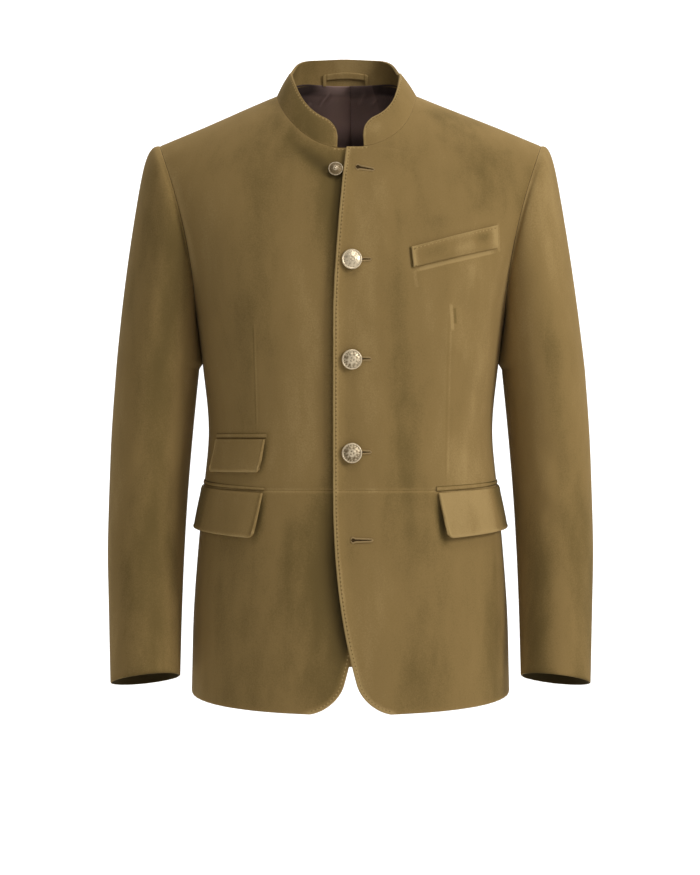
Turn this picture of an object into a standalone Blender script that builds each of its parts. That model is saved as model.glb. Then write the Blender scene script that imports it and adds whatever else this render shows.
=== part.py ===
"""A man's suede blazer with a stand collar, filled out as it is worn, with nobody in it.

The cloth is a thin wall, cut into the panels that a tailor sews: two fronts that meet their
skirts at a seam on the pocket line, two backs, two-piece sleeves, a collar band, flaps, jets and
a breast welt, with metal shank buttons.  Neck, cuffs and hem are open.

Frame, in metres: +X is the wearer's left, -Y the front and +Z up.  The origin lies between the
two points where the shoulder seams meet the collar, which is where the wearer carries the coat.
"""

import math
from collections import namedtuple

import bmesh
import bpy
import numpy as np
from mathutils import Vector

# Cloth
WALL = 0.002
COLLAR_WALL = 0.003
LINING_WALL = 0.0009
LINING_CLEAR = 0.0022
FLAP_WALL = 0.0018
FLAP_CLEAR = 0.0011
SEAM_GAP = 0.0003

# Shoulders, neck and armholes
UNDERARM_Z = -0.270
UNDERARM_X = 0.184
SHOULDER_X = 0.228
SHOULDER_SPREAD = 0.270
SPREAD_START = 0.35
RIDGE_TOP = 0.0350
RIDGE_SLOPE = 0.414
RIDGE_FLAT_X = 0.055
RIDGE_ROUND = 0.008
CHEST_ROUNDNESS = 1.95
BLADE_ROUNDNESS = 5.0
CHEST_SWELL = 0.020
BLADE_SWELL = 0.058
ARMHOLE_CURVE = 1.9
NECK_HALF_WIDTH = 0.0835
NECK_FRONT = 0.0905
NECK_BACK = 0.074
NECK_SQUARE = 2.7
NECK_HUMP = 0.0150
NECK_HUMP_X = 0.085
NECK_SHIFT = -0.0045

# Front edges, waist seam and hem
WAIST_SEAM_Z = -0.470
HEM_MEAN_Z = -0.712
HEM_FRONT_DROP = 0.017
EDGE_OVERLAP = 0.020
EDGE_LEAN = 0.015
EDGE_LEAN_FROM_Z = -0.270
NECK_PIT_Z = -0.070
CUTAWAY_FROM_Z = -0.450
CUTAWAY_RATE = 0.92
CUTAWAY_POWER = 2.5
CORNER_RADIUS = 0.035
FRONT_LIFT = 0.0031
LIFT_FULL_X = 0.030
LIFT_END_X = 0.080

# Collar band
COLLAR_END_X = 0.0155
COLLAR_RISE_FRONT = 0.033
COLLAR_RISE_SIDE = 0.0280
COLLAR_RISE_BACK = 0.0350
COLLAR_CORNER_DIP = 0.0023
COLLAR_LEAN_FRONT = 0.016
COLLAR_LEAN_SIDE = 0.0175
COLLAR_LEAN_BACK = 0.007
COLLAR_SWAY = -0.0026
COLLAR_BOW = 0.001
COLLAR_CORNER = 0.018
COLLAR_END_SHARE = 0.45

# Sleeves
SLEEVE_GAP = 0.0005
SLEEVE_LEAD = 0.003
SLEEVE_SEAM_EASE = 0.0005
SLEEVE_CLEAR = 0.0008
SLEEVE_HEAD_FULL = 0.0125
SLEEVE_HEAD_SHARP = 20.0
SLEEVE_CAP_TO_Z = -0.328
CUFF_Z = -0.695
CUFF_TILT_OUT = -0.118
CUFF_TILT_BACK = -0.21

# Pockets: turns are angles about the body, front end first, and tops are heights at those ends.
# heights are those of the flap's ends, swing is how far they turn back by the lower edge, and
# stand is how far that edge stands off.
Pocket = namedtuple("Pocket", "jet_turns jet_tops flap_turns flap_tops flap_heights swing stand")
HIP_POCKET = Pocket(
    jet_turns=(0.605, 1.75),
    jet_tops=(-0.4655, -0.4565),
    flap_turns=(0.615, 1.74),
    flap_tops=(-0.4732, -0.4642),
    flap_heights=(0.0525, 0.0486),
    swing=0.052,
    stand=(0.0065, 0.0048),
)
TICKET_POCKET = Pocket(
    jet_turns=(0.610, 1.185),
    jet_tops=(-0.4035, -0.4035),
    flap_turns=(0.620, 1.175),
    flap_tops=(-0.4105, -0.4105),
    flap_heights=(0.0388, 0.0388),
    swing=0.035,
    stand=(0.0015, 0.003),
)
JET_HEIGHT = 0.006
JET_BULGE = 0.0004
JET_WALL = 0.0008
JET_CLEAR = 0.0009
FLAP_CORNER_SHARE = 0.16

# Breast welt corners seen from the front, as (x, z), on the side of the buttons and of the arm
WELT_HIGH_IN = Vector((0.0700, -0.1888))
WELT_HIGH_OUT = Vector((0.1703, -0.1607))
WELT_LOW_IN = Vector((0.0725, -0.2120))
WELT_LOW_OUT = Vector((0.1710, -0.1870))

# Lining and hanger loop inside the neck
LINING_HALF_WIDTH = 0.072
LINING_LOW_LEVEL = 0.28
LINING_LOW_SPREAD = 0.55
LINING_ABOVE_SEAM = 0.014
PLEAT_LAYER = 0.0009
LOOP_HALF_LENGTH = 0.0285
LOOP_SHIFT = -0.0015
LOOP_LEG = 0.0036
LOOP_ARCH = 0.07
LOOP_BOW = 0.0018
LOOP_CLEAR = 0.0018
LOOP_WALL = 0.0012

# Buttons: diameter, dome height, shank height and where they sit, as (x, z)
FRONT_BUTTON_DIAMETER = 0.0235
COLLAR_BUTTON_DIAMETER = 0.0172
BUTTON_HEIGHT_SHARE = 0.24
SHANK_HEIGHT = 0.0022
BUTTON_STEPS = 16
NECK_BUTTON_AT = (-0.0172, -0.098)
FRONT_BUTTONS_X = 0.0016
FRONT_BUTTONS_Z = {"button_chest": -0.204, "button_middle": -0.318, "button_waist": -0.4265}

SUEDE = ("suede", (0.250, 0.165, 0.066), 0.95, 0.0)
LINING = ("lining", (0.042, 0.029, 0.026), 0.45, 0.0)
METAL = ("button_metal", (0.55, 0.48, 0.35), 0.38, 1.0)


class Sections:
    """A short table of cross sections, one row for each height, read smoothly between its rows."""

    def __init__(self, names, rows, top_slopes=None):
        self.names = names
        rows = np.array(sorted(rows), float)
        self.heights = rows[:, 0]
        self.values = rows[:, 1:]
        self.slopes = np.gradient(self.values, self.heights, axis=0)
        if top_slopes:
            self.slopes[-1] = top_slopes

    def at(self, height):
        """The row's values at this height, by cubic curves through the rows."""
        height = min(max(height, self.heights[0]), self.heights[-1])
        i = min(max(int(np.searchsorted(self.heights, height)) - 1, 0), len(self.heights) - 2)
        step = self.heights[i + 1] - self.heights[i]
        t = (height - self.heights[i]) / step
        start, end = self.values[i], self.values[i + 1]
        leave, arrive = self.slopes[i] * step, self.slopes[i + 1] * step
        value = (
            (1 + 2 * t) * (1 - t) ** 2 * start
            + t * (1 - t) ** 2 * leave
            + t * t * (3 - 2 * t) * end
            + t * t * (t - 1) * arrive
        )
        return dict(zip(self.names, value))


TORSO = Sections(
    ("half_width", "front_depth", "back_depth", "squareness"),
    [
        (-0.740, 0.1905, 0.125, 0.131, 0.20),
        (-0.688, 0.1896, 0.124, 0.129, 0.20),
        (-0.616, 0.1876, 0.122, 0.125, 0.19),
        (-0.545, 0.1826, 0.119, 0.118, 0.18),
        (-0.472, 0.1758, 0.1165, 0.106, 0.17),
        (-0.400, 0.1698, 0.117, 0.100, 0.16),
        (-0.328, 0.1762, 0.123, 0.108, 0.23),
        (UNDERARM_Z, UNDERARM_X, 0.128, 0.117, 0.33),
    ],
    top_slopes=(0.153, 0.04, 0.10, 0.6),
)

SLEEVE = Sections(
    ("centre_x", "centre_y", "half_width", "half_depth"),
    [
        (-0.328, 0.2316, 0.004, 0.0498, 0.070),
        (-0.400, 0.2379, 0.006, 0.0489, 0.065),
        (-0.472, 0.2424, 0.006, 0.0474, 0.060),
        (-0.544, 0.2448, -0.003, 0.0460, 0.054),
        (-0.616, 0.2445, -0.018, 0.0436, 0.049),
        (-0.695, 0.2432, -0.038, 0.0414, 0.044),
    ],
)

# Levels of the panels' cutting rows: metres below the underarm, then 0 to 1 up to the shoulder.
UPPER_LEVELS = (0.012, 0.04, 0.09, 0.16, 0.24, 0.33, 0.42)
FRONT_NECK_TURNS = (0.35, 0.60, 0.82, 1.03, 1.24, 1.42)
BACK_TOP_LEVELS = (0.50, 0.58)
BY_SHOULDER_LEVEL = 0.975
BACK_NECK_TURNS = (0.35, 0.65, 0.90, 1.15, 1.38)
CHEST_DROPS = (0.196, 0.148, 0.098, 0.052, 0.02)
BACK_SHARES = (1.0, 0.98, 0.88, 0.76, 0.64, 0.52, 0.40, 0.29, 0.18, 0.09, 0.03)
FRONT_SLEEVE_SEAM_LEVEL = 0.012
BACK_SLEEVE_SEAM_LEVEL = 0.16
SLEEVE_LEVEL_POWER = 0.58
CAP_SHARES = (0.02, 0.06, 0.12, 0.21, 0.34, 0.50, 0.68, 0.86, 1.0)
TUBE_SHARES = (0.14, 0.28, 0.42, 0.56, 0.70, 0.84, 0.985, 1.0)


def smoothstep(low, high, value):
    t = min(max((value - low) / (high - low), 0.0), 1.0)
    return t * t * (3 - 2 * t)


def spread(cells, edge):
    """cells + 1 shares from 0 to 1, even but for a narrow cell of share edge at each end."""
    return [0.0, *np.linspace(edge, 1 - edge, cells - 1), 1.0]


# Body surface


def ridge_height(x):
    """Height of the shoulder line, level behind the neck and sloping from there to the arm."""
    past_neck = RIDGE_ROUND * math.log1p(math.exp((abs(x) - RIDGE_FLAT_X) / RIDGE_ROUND))
    return RIDGE_TOP - RIDGE_SLOPE * (RIDGE_FLAT_X + past_neck)


def body_point(angle, level):
    """A point of the coat's outer surface on the wearer's left.

    angle is 0 at centre front, pi/2 at the side and pi at centre back.  level is metres below the
    underarm where it is negative, and runs from 0 there to 1 on the shoulder line.
    """
    row = TORSO.at(UNDERARM_Z + min(level, 0.0))
    depth = row["front_depth"] if math.cos(angle) > 0 else row["back_depth"]
    x = row["half_width"] * math.sin(angle)
    y = -depth * math.cos(angle) * (1 + row["squareness"] * math.sin(angle) ** 2)
    if level <= 0:
        return Vector((x, y, UNDERARM_Z + level))
    towards_back = ((1 - math.cos(angle)) / 2) ** 1.5
    roundness = CHEST_ROUNDNESS + (BLADE_ROUNDNESS - CHEST_ROUNDNESS) * towards_back
    sine, cosine = math.sin(level * math.pi / 2), max(math.cos(level * math.pi / 2), 0.0)
    norm = (sine**roundness + cosine**roundness) ** (1 / roundness)
    rise, inset = sine / norm, cosine / norm
    ridge_x = x * SHOULDER_SPREAD / UNDERARM_X
    height = UNDERARM_Z + (ridge_height(ridge_x) - UNDERARM_Z) * rise
    x += (ridge_x - x) * (SPREAD_START * rise + (1 - SPREAD_START) * rise**2)
    swell = BLADE_SWELL if y > 0 else CHEST_SWELL
    y *= inset * (1 + swell * 4 * rise * (1 - rise))
    if y > 0:
        near_neck = math.exp(-((x / NECK_HUMP_X) ** 6)) * (4 * inset * (1 - inset)) ** 2
        height += NECK_HUMP * near_neck * towards_back
    return Vector((x, y, height))


def body_normal(angle, level):
    step = 1e-4
    across = body_point(angle + step, level) - body_point(angle - step, level)
    top = min(level + step, 1.0)
    up = body_point(angle, top) - body_point(angle, top - 2 * step)
    return across.cross(up).normalized()


def bisect(function, low, high):
    """Where function changes sign between low and high."""
    low_positive = function(low) > 0
    for _ in range(40):
        middle = (low + high) / 2
        if (function(middle) > 0) == low_positive:
            low = middle
        else:
            high = middle
    return (low + high) / 2


def find_on_body(first_axis, second_axis, first, second, start):
    """(angle, level) of the surface point whose two named coordinates have these values."""
    angle, level = start
    step = 1e-5
    axes = [first_axis, second_axis]
    for _ in range(25):
        here = np.array(body_point(angle, level))[axes]
        by_angle = (np.array(body_point(angle + step, level))[axes] - here) / step
        by_level = (np.array(body_point(angle, level + step))[axes] - here) / step
        miss = np.array([first, second]) - here
        change = np.linalg.solve(np.column_stack([by_angle, by_level]), miss)
        change = np.clip(change, -0.15, 0.15)
        angle, level = angle + change[0], level + change[1]
    return angle, level


def neck_oval(across, along):
    """1 on the neckline seen from above, an oval drawn out towards its corners."""
    return (abs(across) ** NECK_SQUARE + abs(along) ** NECK_SQUARE) ** (1 / NECK_SQUARE)


def neck_angle(level, back):
    """Angle at which a cutting row meets the neckline, an oval seen from above."""

    def outside(angle):
        point = body_point(angle, level)
        depth = NECK_FRONT if point.y < 0 else NECK_BACK
        return neck_oval(point.x / NECK_HALF_WIDTH, point.y / depth) - 1

    middle, side = (math.pi, math.pi / 2) if back else (0.0, math.pi / 2)
    return middle if outside(middle) >= 0 else bisect(outside, middle, side)


def armhole_x(z):
    top = ridge_height(SHOULDER_X)
    share = min(max((z - UNDERARM_Z) / (top - UNDERARM_Z), 0.0), 1.0)
    return UNDERARM_X + (SHOULDER_X - UNDERARM_X) * share**ARMHOLE_CURVE


def armhole_angle(level, back):
    """Angle at which a cutting row above the underarm meets the armhole."""
    if level <= 0:
        return math.pi / 2

    def past(angle):
        point = body_point(angle, level)
        return point.x - armhole_x(point.z)

    return bisect(past, math.pi - 0.1 if back else 0.1, math.pi / 2)


def hem_height(angle):
    return HEM_MEAN_Z - HEM_FRONT_DROP * math.cos(angle)


def front_edge_x(z):
    """How far a front's edge lies past centre front (negative) or is cut away from it (positive)."""
    x = -EDGE_OVERLAP
    if z > EDGE_LEAN_FROM_Z:
        x += EDGE_LEAN * ((z - EDGE_LEAN_FROM_Z) / (NECK_PIT_Z - EDGE_LEAN_FROM_Z)) ** 1.5
    if z < CUTAWAY_FROM_Z:
        x += CUTAWAY_RATE * (CUTAWAY_FROM_Z - z) ** CUTAWAY_POWER
    into_corner = (hem_height(0.0) + CORNER_RADIUS - z) / CORNER_RADIUS
    if into_corner > 0:
        x += CORNER_RADIUS * (1 - math.sqrt(max(1 - into_corner**2, 0.0)))
    return x


def front_lift(x):
    """The wearer's left front laps over the right one, so it stands this far off near its edge."""
    return FRONT_LIFT * (1 - smoothstep(LIFT_FULL_X, LIFT_END_X, x))


def coat_point(angle, level, side, off=0.0):
    """A surface point on the wearer's left (side 1) or right (side -1), moved out by off."""
    point = body_point(angle, level)
    if side > 0 and math.cos(angle) > 0:
        off += front_lift(point.x)
    if off:
        point = point + body_normal(angle, level) * off
    return Vector((side * point.x, point.y, point.z))


# Making solids


def finish(look):
    name, colour, roughness, metallic = look
    material = bpy.data.materials.get(name)
    if material is None:
        material = bpy.data.materials.new(name)
        material.use_nodes = True
        shader = material.node_tree.nodes["Principled BSDF"]
        shader.inputs["Base Color"].default_value = (*colour, 1.0)
        shader.inputs["Roughness"].default_value = roughness
        shader.inputs["Metallic"].default_value = metallic
    return material


def add_object(name, mesh, look):
    mesh.materials.append(finish(look))
    mesh.shade_smooth()
    mesh.set_sharp_from_angle(angle=math.radians(40))
    piece = bpy.data.objects.new(name, mesh)
    bpy.data.collections["blazer"].objects.link(piece)
    return piece


def settle(points):
    """Shifts cloth by the neck a little towards the wearer's right, as the coat hangs there."""
    for point in points.reshape(-1, 3):
        x, y, z = point
        near = smoothstep(-0.14, -0.03, z) * smoothstep(-0.095, -0.03, y)
        point[0] += NECK_SHIFT * near * (1 - smoothstep(0.09, 0.19, abs(x)))
    return points


def open_seams(grid, gap):
    """Draws a grid's four borders in along the cloth by half the seam gap."""
    grid = grid.copy()
    for border, inner in ((0, 1), (-1, -2)):
        for along in (grid, grid.swapaxes(0, 1)):
            pull = along[inner] - along[border]
            length = np.linalg.norm(pull, axis=1, keepdims=True)
            along[border] += pull / length * gap / 2
    return grid


def cloth(name, grid, look=SUEDE, wall=WALL, flip=False, gap=SEAM_GAP):
    """A wall on a grid of outer points, rows by columns, thickened towards the inside."""
    points = open_seams(settle(np.array(grid, float)), gap)
    rows, columns = points.shape[:2]
    bm = bmesh.new()
    bmesh.ops.create_grid(bm, x_segments=columns - 1, y_segments=rows - 1, size=1.0)
    for index, vertex in enumerate(sorted(bm.verts, key=lambda v: (round(v.co.y, 5), v.co.x))):
        vertex.co = points[divmod(index, columns)]
    if flip:
        bmesh.ops.reverse_faces(bm, faces=bm.faces)
    mesh = bpy.data.meshes.new(name)
    bm.to_mesh(mesh)
    bm.free()
    piece = add_object(name, mesh, look)
    thick = piece.modifiers.new("thickness", "SOLIDIFY")
    thick.thickness = wall
    thick.offset = -1.0
    thick.use_even_offset = True
    return piece


# Body panels


def neck_plan(turn, back=False):
    """A point of the neckline seen from above, turned from centre front or centre back."""
    depth = NECK_BACK if back else -NECK_FRONT
    power = 2 / NECK_SQUARE
    return NECK_HALF_WIDTH * math.sin(turn) ** power, depth * math.cos(turn) ** power


def neck_turn(x):
    """The turn of the neckline point at a distance x from the middle."""
    return math.asin((abs(x) / NECK_HALF_WIDTH) ** (NECK_SQUARE / 2))


def neck_level(turn, back=False):
    """Level of the neckline at a turn from centre front or centre back."""
    x, y = neck_plan(turn, back)
    start = (math.pi - 0.3, 0.8) if back else (0.3, 0.7)
    return find_on_body(0, 1, x, y, start)[1]


def neck_levels(back):
    """Rows that end on the neckline: from centre front or centre back up to the shoulder."""
    turns = BACK_NECK_TURNS if back else FRONT_NECK_TURNS
    return [neck_level(turn, back) for turn in (0.0, *turns)] + [BY_SHOULDER_LEVEL, 1.0]


def front_levels():
    return [0.0, *UPPER_LEVELS, *neck_levels(back=False)]


def back_levels():
    return [0.0, *UPPER_LEVELS, *BACK_TOP_LEVELS, *neck_levels(back=True)]


def edge_angle(point_at):
    """Angle at which a cutting row, given as a function of angle, starts at the front edge."""

    def past(angle):
        point = point_at(angle)
        return point.x - front_edge_x(point.z)

    return bisect(past, -0.4, 0.9)


def front_chest(side):
    """The upper front, from the pocket-line seam to the shoulder, neckline and armhole."""
    pit = neck_level(0.0)
    grid = []
    for level in [WAIST_SEAM_Z - UNDERARM_Z, *[-drop for drop in CHEST_DROPS], *front_levels()]:
        if level > pit:
            start = neck_angle(level, back=False)
        else:
            start = edge_angle(lambda angle, level=level: body_point(angle, level))
        end = armhole_angle(level, back=False)
        grid.append([coat_point(start + (end - start) * u, level, side) for u in spread(12, 0.03)])
    name = "front_left_chest" if side > 0 else "front_right_chest"
    return cloth(name, grid, flip=side < 0)


def skirt_point(angle, share):
    """A point between the pocket-line seam (share 0) and the hem (share 1)."""
    z = WAIST_SEAM_Z + (hem_height(angle) - WAIST_SEAM_Z) * share
    return body_point(angle, z - UNDERARM_Z)


def front_skirt(side):
    """The lower front, with its edge cut away and rounded into the hem."""
    shares = [1.0, 0.985, 0.95, 0.90, 0.83, 0.72, 0.58, 0.42, 0.24, 0.02, 0.0]
    grid = []
    for share in shares:
        start = edge_angle(lambda angle, share=share: skirt_point(angle, share))
        row = []
        for u in spread(12, 0.025):
            angle = start + (math.pi / 2 - start) * u
            level = skirt_point(angle, share).z - UNDERARM_Z
            row.append(coat_point(angle, level, side))
        grid.append(row)
    name = "front_left_skirt" if side > 0 else "front_right_skirt"
    return cloth(name, grid, flip=side < 0)


def back_panel(side):
    """Half of the back, from hem to shoulder, with the side and centre back seams."""
    rows = [(share, 0.0) for share in BACK_SHARES]
    rows += [(0.0, level) for level in back_levels()]
    grid = []
    for share, level in rows:
        start = armhole_angle(level, back=True)
        end = neck_angle(level, back=True) if level > 0 else math.pi
        row = []
        for u in spread(10, 0.03):
            angle = start + (end - start) * u
            row.append(coat_point(angle, level + (hem_height(angle) - UNDERARM_Z) * share, side))
        grid.append(row)
    name = "back_left" if side > 0 else "back_right"
    return cloth(name, grid, flip=side < 0)


# Sleeves


def armhole_loop():
    """Armhole points with their turn about the sleeve, up the front and down the back.

    The turn is 0 on the shoulder, pi/2 at the front, pi under the arm and -pi/2 at the back.
    """
    loop = []
    for level in front_levels():
        turn = math.pi * (1 - level**SLEEVE_LEVEL_POWER)
        loop.append((level, turn, body_point(armhole_angle(level, back=False), level)))
    for level in back_levels()[-2:0:-1]:
        turn = -math.pi * (1 - level**SLEEVE_LEVEL_POWER)
        loop.append((level, turn, body_point(armhole_angle(level, back=True), level)))
    return loop


def tube_point(turn, z):
    """A point of the sleeve below its head, whose rings tilt towards the cuff."""
    row = SLEEVE.at(z)
    out = row["half_width"] * math.cos(turn)
    forward = -row["half_depth"] * math.sin(turn)
    tilt = ((SLEEVE_CAP_TO_Z - z) / (SLEEVE_CAP_TO_Z - CUFF_Z)) ** 1.3
    lift = tilt * (CUFF_TILT_OUT * out + CUFF_TILT_BACK * forward)
    return Vector((row["centre_x"] + out, row["centre_y"] + forward, z + lift))


def lean_in(turn, share):
    """How far the sleeve leans in below the armhole, to lie just clear of the body."""
    start = UNDERARM_X + SLEEVE_GAP + SLEEVE_LEAD
    inner_x = start + (tube_point(math.pi, SLEEVE_CAP_TO_Z).x - start) * share
    beside = TORSO.at(UNDERARM_Z + (SLEEVE_CAP_TO_Z - UNDERARM_Z) * share)["half_width"] + SLEEVE_CLEAR
    ease = smoothstep(0.0, 0.3, share) * (1 - smoothstep(0.84, 1.0, share))
    return max(inner_x - beside, 0.0) * ease * max(-math.cos(turn), 0.0) ** 2


def head_point(turn, edge, share):
    """A point of the sleeve head, from the armhole (share 0) to the first full ring (share 1)."""
    start = edge + Vector((SLEEVE_GAP + SLEEVE_LEAD, 0, 0))
    end = tube_point(turn, SLEEVE_CAP_TO_Z)
    full = math.sqrt(1 - (1 - share) ** SLEEVE_HEAD_SHARP) * (1 - share**2.2)
    full *= SLEEVE_HEAD_FULL * math.cos(turn / 2) ** 2
    swell = Vector((math.cos(turn), -math.sin(turn), 0)) * full
    return start.lerp(end, share) + swell - Vector((lean_in(turn, share), 0, 0))


def sleeve_column(turn, edge, side):
    """One line of sleeve points from the armhole to the cuff."""
    column = [edge + Vector((SLEEVE_GAP, 0, 0)), edge + Vector((SLEEVE_GAP + SLEEVE_LEAD, 0, 0))]
    column += [head_point(turn, edge, share) for share in CAP_SHARES]
    column += [
        tube_point(turn, SLEEVE_CAP_TO_Z + (CUFF_Z - SLEEVE_CAP_TO_Z) * share) for share in TUBE_SHARES
    ]
    return [Vector((side * p.x, p.y, p.z)) for p in column]


def seam_columns(edges):
    """Puts a narrow column beside the seam at each end, so that the walls meet squarely there."""

    def between(start, end):
        share = 0.2
        return start[0] + (end[0] - start[0]) * share, start[1].lerp(end[1], share)

    first, last = between(edges[0], edges[1]), between(edges[-1], edges[-2])
    return [edges[0], first, *edges[1:-1], last, edges[-1]]


def ease_seam_ends(grid):
    """Opens both seams a little more by the armhole, where the walls turn sharply."""
    for border, inner in ((0, 1), (-1, -2)):
        for i in range(len(CAP_SHARES) + 1):
            pull = (grid[inner][i] - grid[border][i]).normalized()
            grid[border][i] += pull * SLEEVE_SEAM_EASE


def sleeve(side):
    """Top and under sleeve, parted at a front seam and an elbow seam."""
    loop = armhole_loop()
    levels = [level for level, _, _ in loop]
    edges = [(turn, edge) for _, turn, edge in loop]
    top = levels.index(1.0)
    front = levels.index(FRONT_SLEEVE_SEAM_LEVEL)
    elbow = levels.index(BACK_SLEEVE_SEAM_LEVEL, top)
    word = "left" if side > 0 else "right"
    pieces = {"top": edges[front : elbow + 1], "under": edges[elbow:] + edges[: front + 1]}
    for part, part_edges in pieces.items():
        grid = [sleeve_column(turn, edge, side) for turn, edge in seam_columns(part_edges)]
        ease_seam_ends(grid)
        cloth(f"sleeve_{word}_{part}", grid, flip=side < 0)


# Collar


def neck_out(point):
    """Direction away from the neck, seen from above, at a neckline point."""
    depth = NECK_FRONT if point.y < 0 else NECK_BACK
    power = NECK_SQUARE - 1
    across = math.copysign(abs(point.x / NECK_HALF_WIDTH) ** power, point.x) / NECK_HALF_WIDTH
    along = math.copysign(abs(point.y / depth) ** power, point.y) / depth
    return Vector((across, along, 0)).normalized()


def collar_slope(out, front):
    """Rise and inward lean of the band where it faces a direction seen from above."""
    rise = COLLAR_RISE_FRONT if front else COLLAR_RISE_BACK
    lean = COLLAR_LEAN_FRONT if front else COLLAR_LEAN_BACK
    side = out.x**2
    dip = 0.0 if front else COLLAR_CORNER_DIP * 4 * abs(out.x) * (1 - abs(out.x))
    return rise + (COLLAR_RISE_SIDE - rise) * side - dip, lean + (COLLAR_LEAN_SIDE - lean) * side


def collar_column(base, share_of_rise):
    """Points up the band from a neckline point."""
    out = neck_out(base)
    rise, lean = collar_slope(out, base.y < 0)
    column = []
    for share in (0.0, 0.06, 0.35, 0.65, 0.94, 1.0):
        height = share * share_of_rise
        bow = COLLAR_BOW * math.sin(math.pi * height)
        sway = COLLAR_SWAY * height * smoothstep(-0.06, 0.02, base.y)
        up = Vector((sway, 0, rise * height + SEAM_GAP))
        column.append(base + up + out * (bow - lean * height))
    return column


def collar_base(side):
    """Neckline points on one side, from the band's front end to the shoulder and centre back."""
    pit = neck_level(0.0)
    corner_angle = edge_angle(lambda angle: body_point(angle, pit))
    corner = coat_point(corner_angle, pit, side)
    points = []
    for level in neck_levels(back=False)[1:]:
        points.append(coat_point(neck_angle(level, back=False), level, side))
    for level in neck_levels(back=True)[-2::-1]:
        points.append(coat_point(neck_angle(level, back=True), level, side))
    share = (COLLAR_END_X - side * corner.x) / (side * (points[0].x - corner.x))
    start = corner.lerp(points[0], share)
    ends = [start.lerp(points[0], share) for share in (0.0, 0.05, 0.13, 0.26, 0.45, 0.7)]
    return ends + points


def collar():
    """The band, whose front ends are rounded."""
    columns = []
    for side in (1, -1):
        base = collar_base(side)
        half = []
        for point in base:
            along = min((point - base[0]).length / COLLAR_CORNER, 1.0)
            round_off = math.sqrt(1 - (1 - along) ** 2)
            half.append(collar_column(point, COLLAR_END_SHARE + (1 - COLLAR_END_SHARE) * round_off))
        columns.append(half)
    left, right = columns
    return cloth("collar", left + right[-2::-1], wall=COLLAR_WALL, flip=True, gap=0.0)


# Pockets


def between(ends, share):
    return ends[0] + (ends[1] - ends[0]) * share


def flap(name, pocket, side):
    """A pocket flap hanging off the body, with rounded lower corners."""
    round_share = 0.06
    grid = []
    for u in (0.0, 0.02, round_share, 0.18, 0.34, 0.5, 0.66, 0.82, 1 - round_share, 0.98, 1.0):
        height = between(pocket.flap_heights, u)
        from_end = min(min(u, 1 - u) / round_share, 1.0)
        corner = FLAP_CORNER_SHARE * height * (1 - math.sqrt(1 - (1 - from_end) ** 2))
        column = []
        for share in (0.0, 0.05, 0.35, 0.68, 0.95, 1.0):
            angle = between(pocket.flap_turns, u) + pocket.swing * share
            z = between(pocket.flap_tops, u) - (height - corner) * share
            off = FLAP_WALL + FLAP_CLEAR + share * between(pocket.stand, u**2)
            column.append(coat_point(angle, z - UNDERARM_Z, side, off))
        grid.append(column)
    return cloth(name, grid, wall=FLAP_WALL, flip=side < 0, gap=0.0)


def jet(name, pocket, side):
    """A narrow piped strip above a flap."""
    grid = []
    for u in np.linspace(0, 1, 13):
        angle, z = between(pocket.jet_turns, u), between(pocket.jet_tops, u)
        column = []
        for share, bulge in ((0.0, 0.0), (0.2, JET_BULGE), (0.8, JET_BULGE), (1.0, 0.0)):
            level = z - JET_HEIGHT * share - UNDERARM_Z
            column.append(coat_point(angle, level, side, JET_WALL + JET_CLEAR + bulge))
        grid.append(column)
    return cloth(name, grid, wall=JET_WALL, flip=side < 0, gap=0.0)


def breast_welt():
    """The slanted welt on the wearer's left chest."""
    grid = []
    for u in spread(8, 0.03):
        column = []
        for share in (0.0, 0.06, 0.5, 0.94, 1.0):
            low = WELT_LOW_IN.lerp(WELT_LOW_OUT, u)
            x, z = WELT_HIGH_IN.lerp(WELT_HIGH_OUT, u).lerp(low, share)
            angle, level = find_on_body(0, 2, x, z, (0.5, 0.3))
            column.append(coat_point(angle, level, 1, FLAP_WALL + FLAP_CLEAR))
        grid.append(column)
    return cloth("breast_welt", grid, wall=FLAP_WALL, gap=0.0)


# Inside the neck


def lining_back():
    """The lining seen through the neck: a back piece with a centre pleat of three layers."""
    bend = [math.pi * k / 4 for k in range(5)]
    path = [(x, 0.0) for x in (-1.0, -0.75, -0.5, -0.25, -0.08)]
    path += [(0.10 + 0.012 * math.sin(b), 1 - math.cos(b)) for b in bend]
    path += [(-0.04 - 0.012 * math.sin(b), 3 - math.cos(b)) for b in bend]
    path += [(x, 4 * (1 - smoothstep(0.0, 0.5, x))) for x in (0.12, 0.3, 0.5, 0.75, 1.0)]
    grid = []
    for across, layers in path:
        x = LINING_HALF_WIDTH * across
        y = neck_plan(neck_turn(x), back=True)[1]
        start = (math.pi - 0.3 * across, 0.8)
        top_angle, top_level = find_on_body(0, 1, x, y, start)
        column = []
        for share in (0.0, 0.03, 0.2, 0.4, 0.65, 1.0):
            angle = top_angle + (math.pi - LINING_LOW_SPREAD * across - top_angle) * share
            level = top_level + LINING_ABOVE_SEAM + (LINING_LOW_LEVEL - top_level) * share
            off = -(WALL + LINING_WALL + LINING_CLEAR + PLEAT_LAYER * layers)
            column.append(body_point(angle, level) + body_normal(angle, level) * off)
        grid.append(column)
    piece = cloth("lining_back", grid, LINING, wall=LINING_WALL, gap=0.0)
    piece.modifiers["thickness"].offset = 0.0
    return piece


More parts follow.
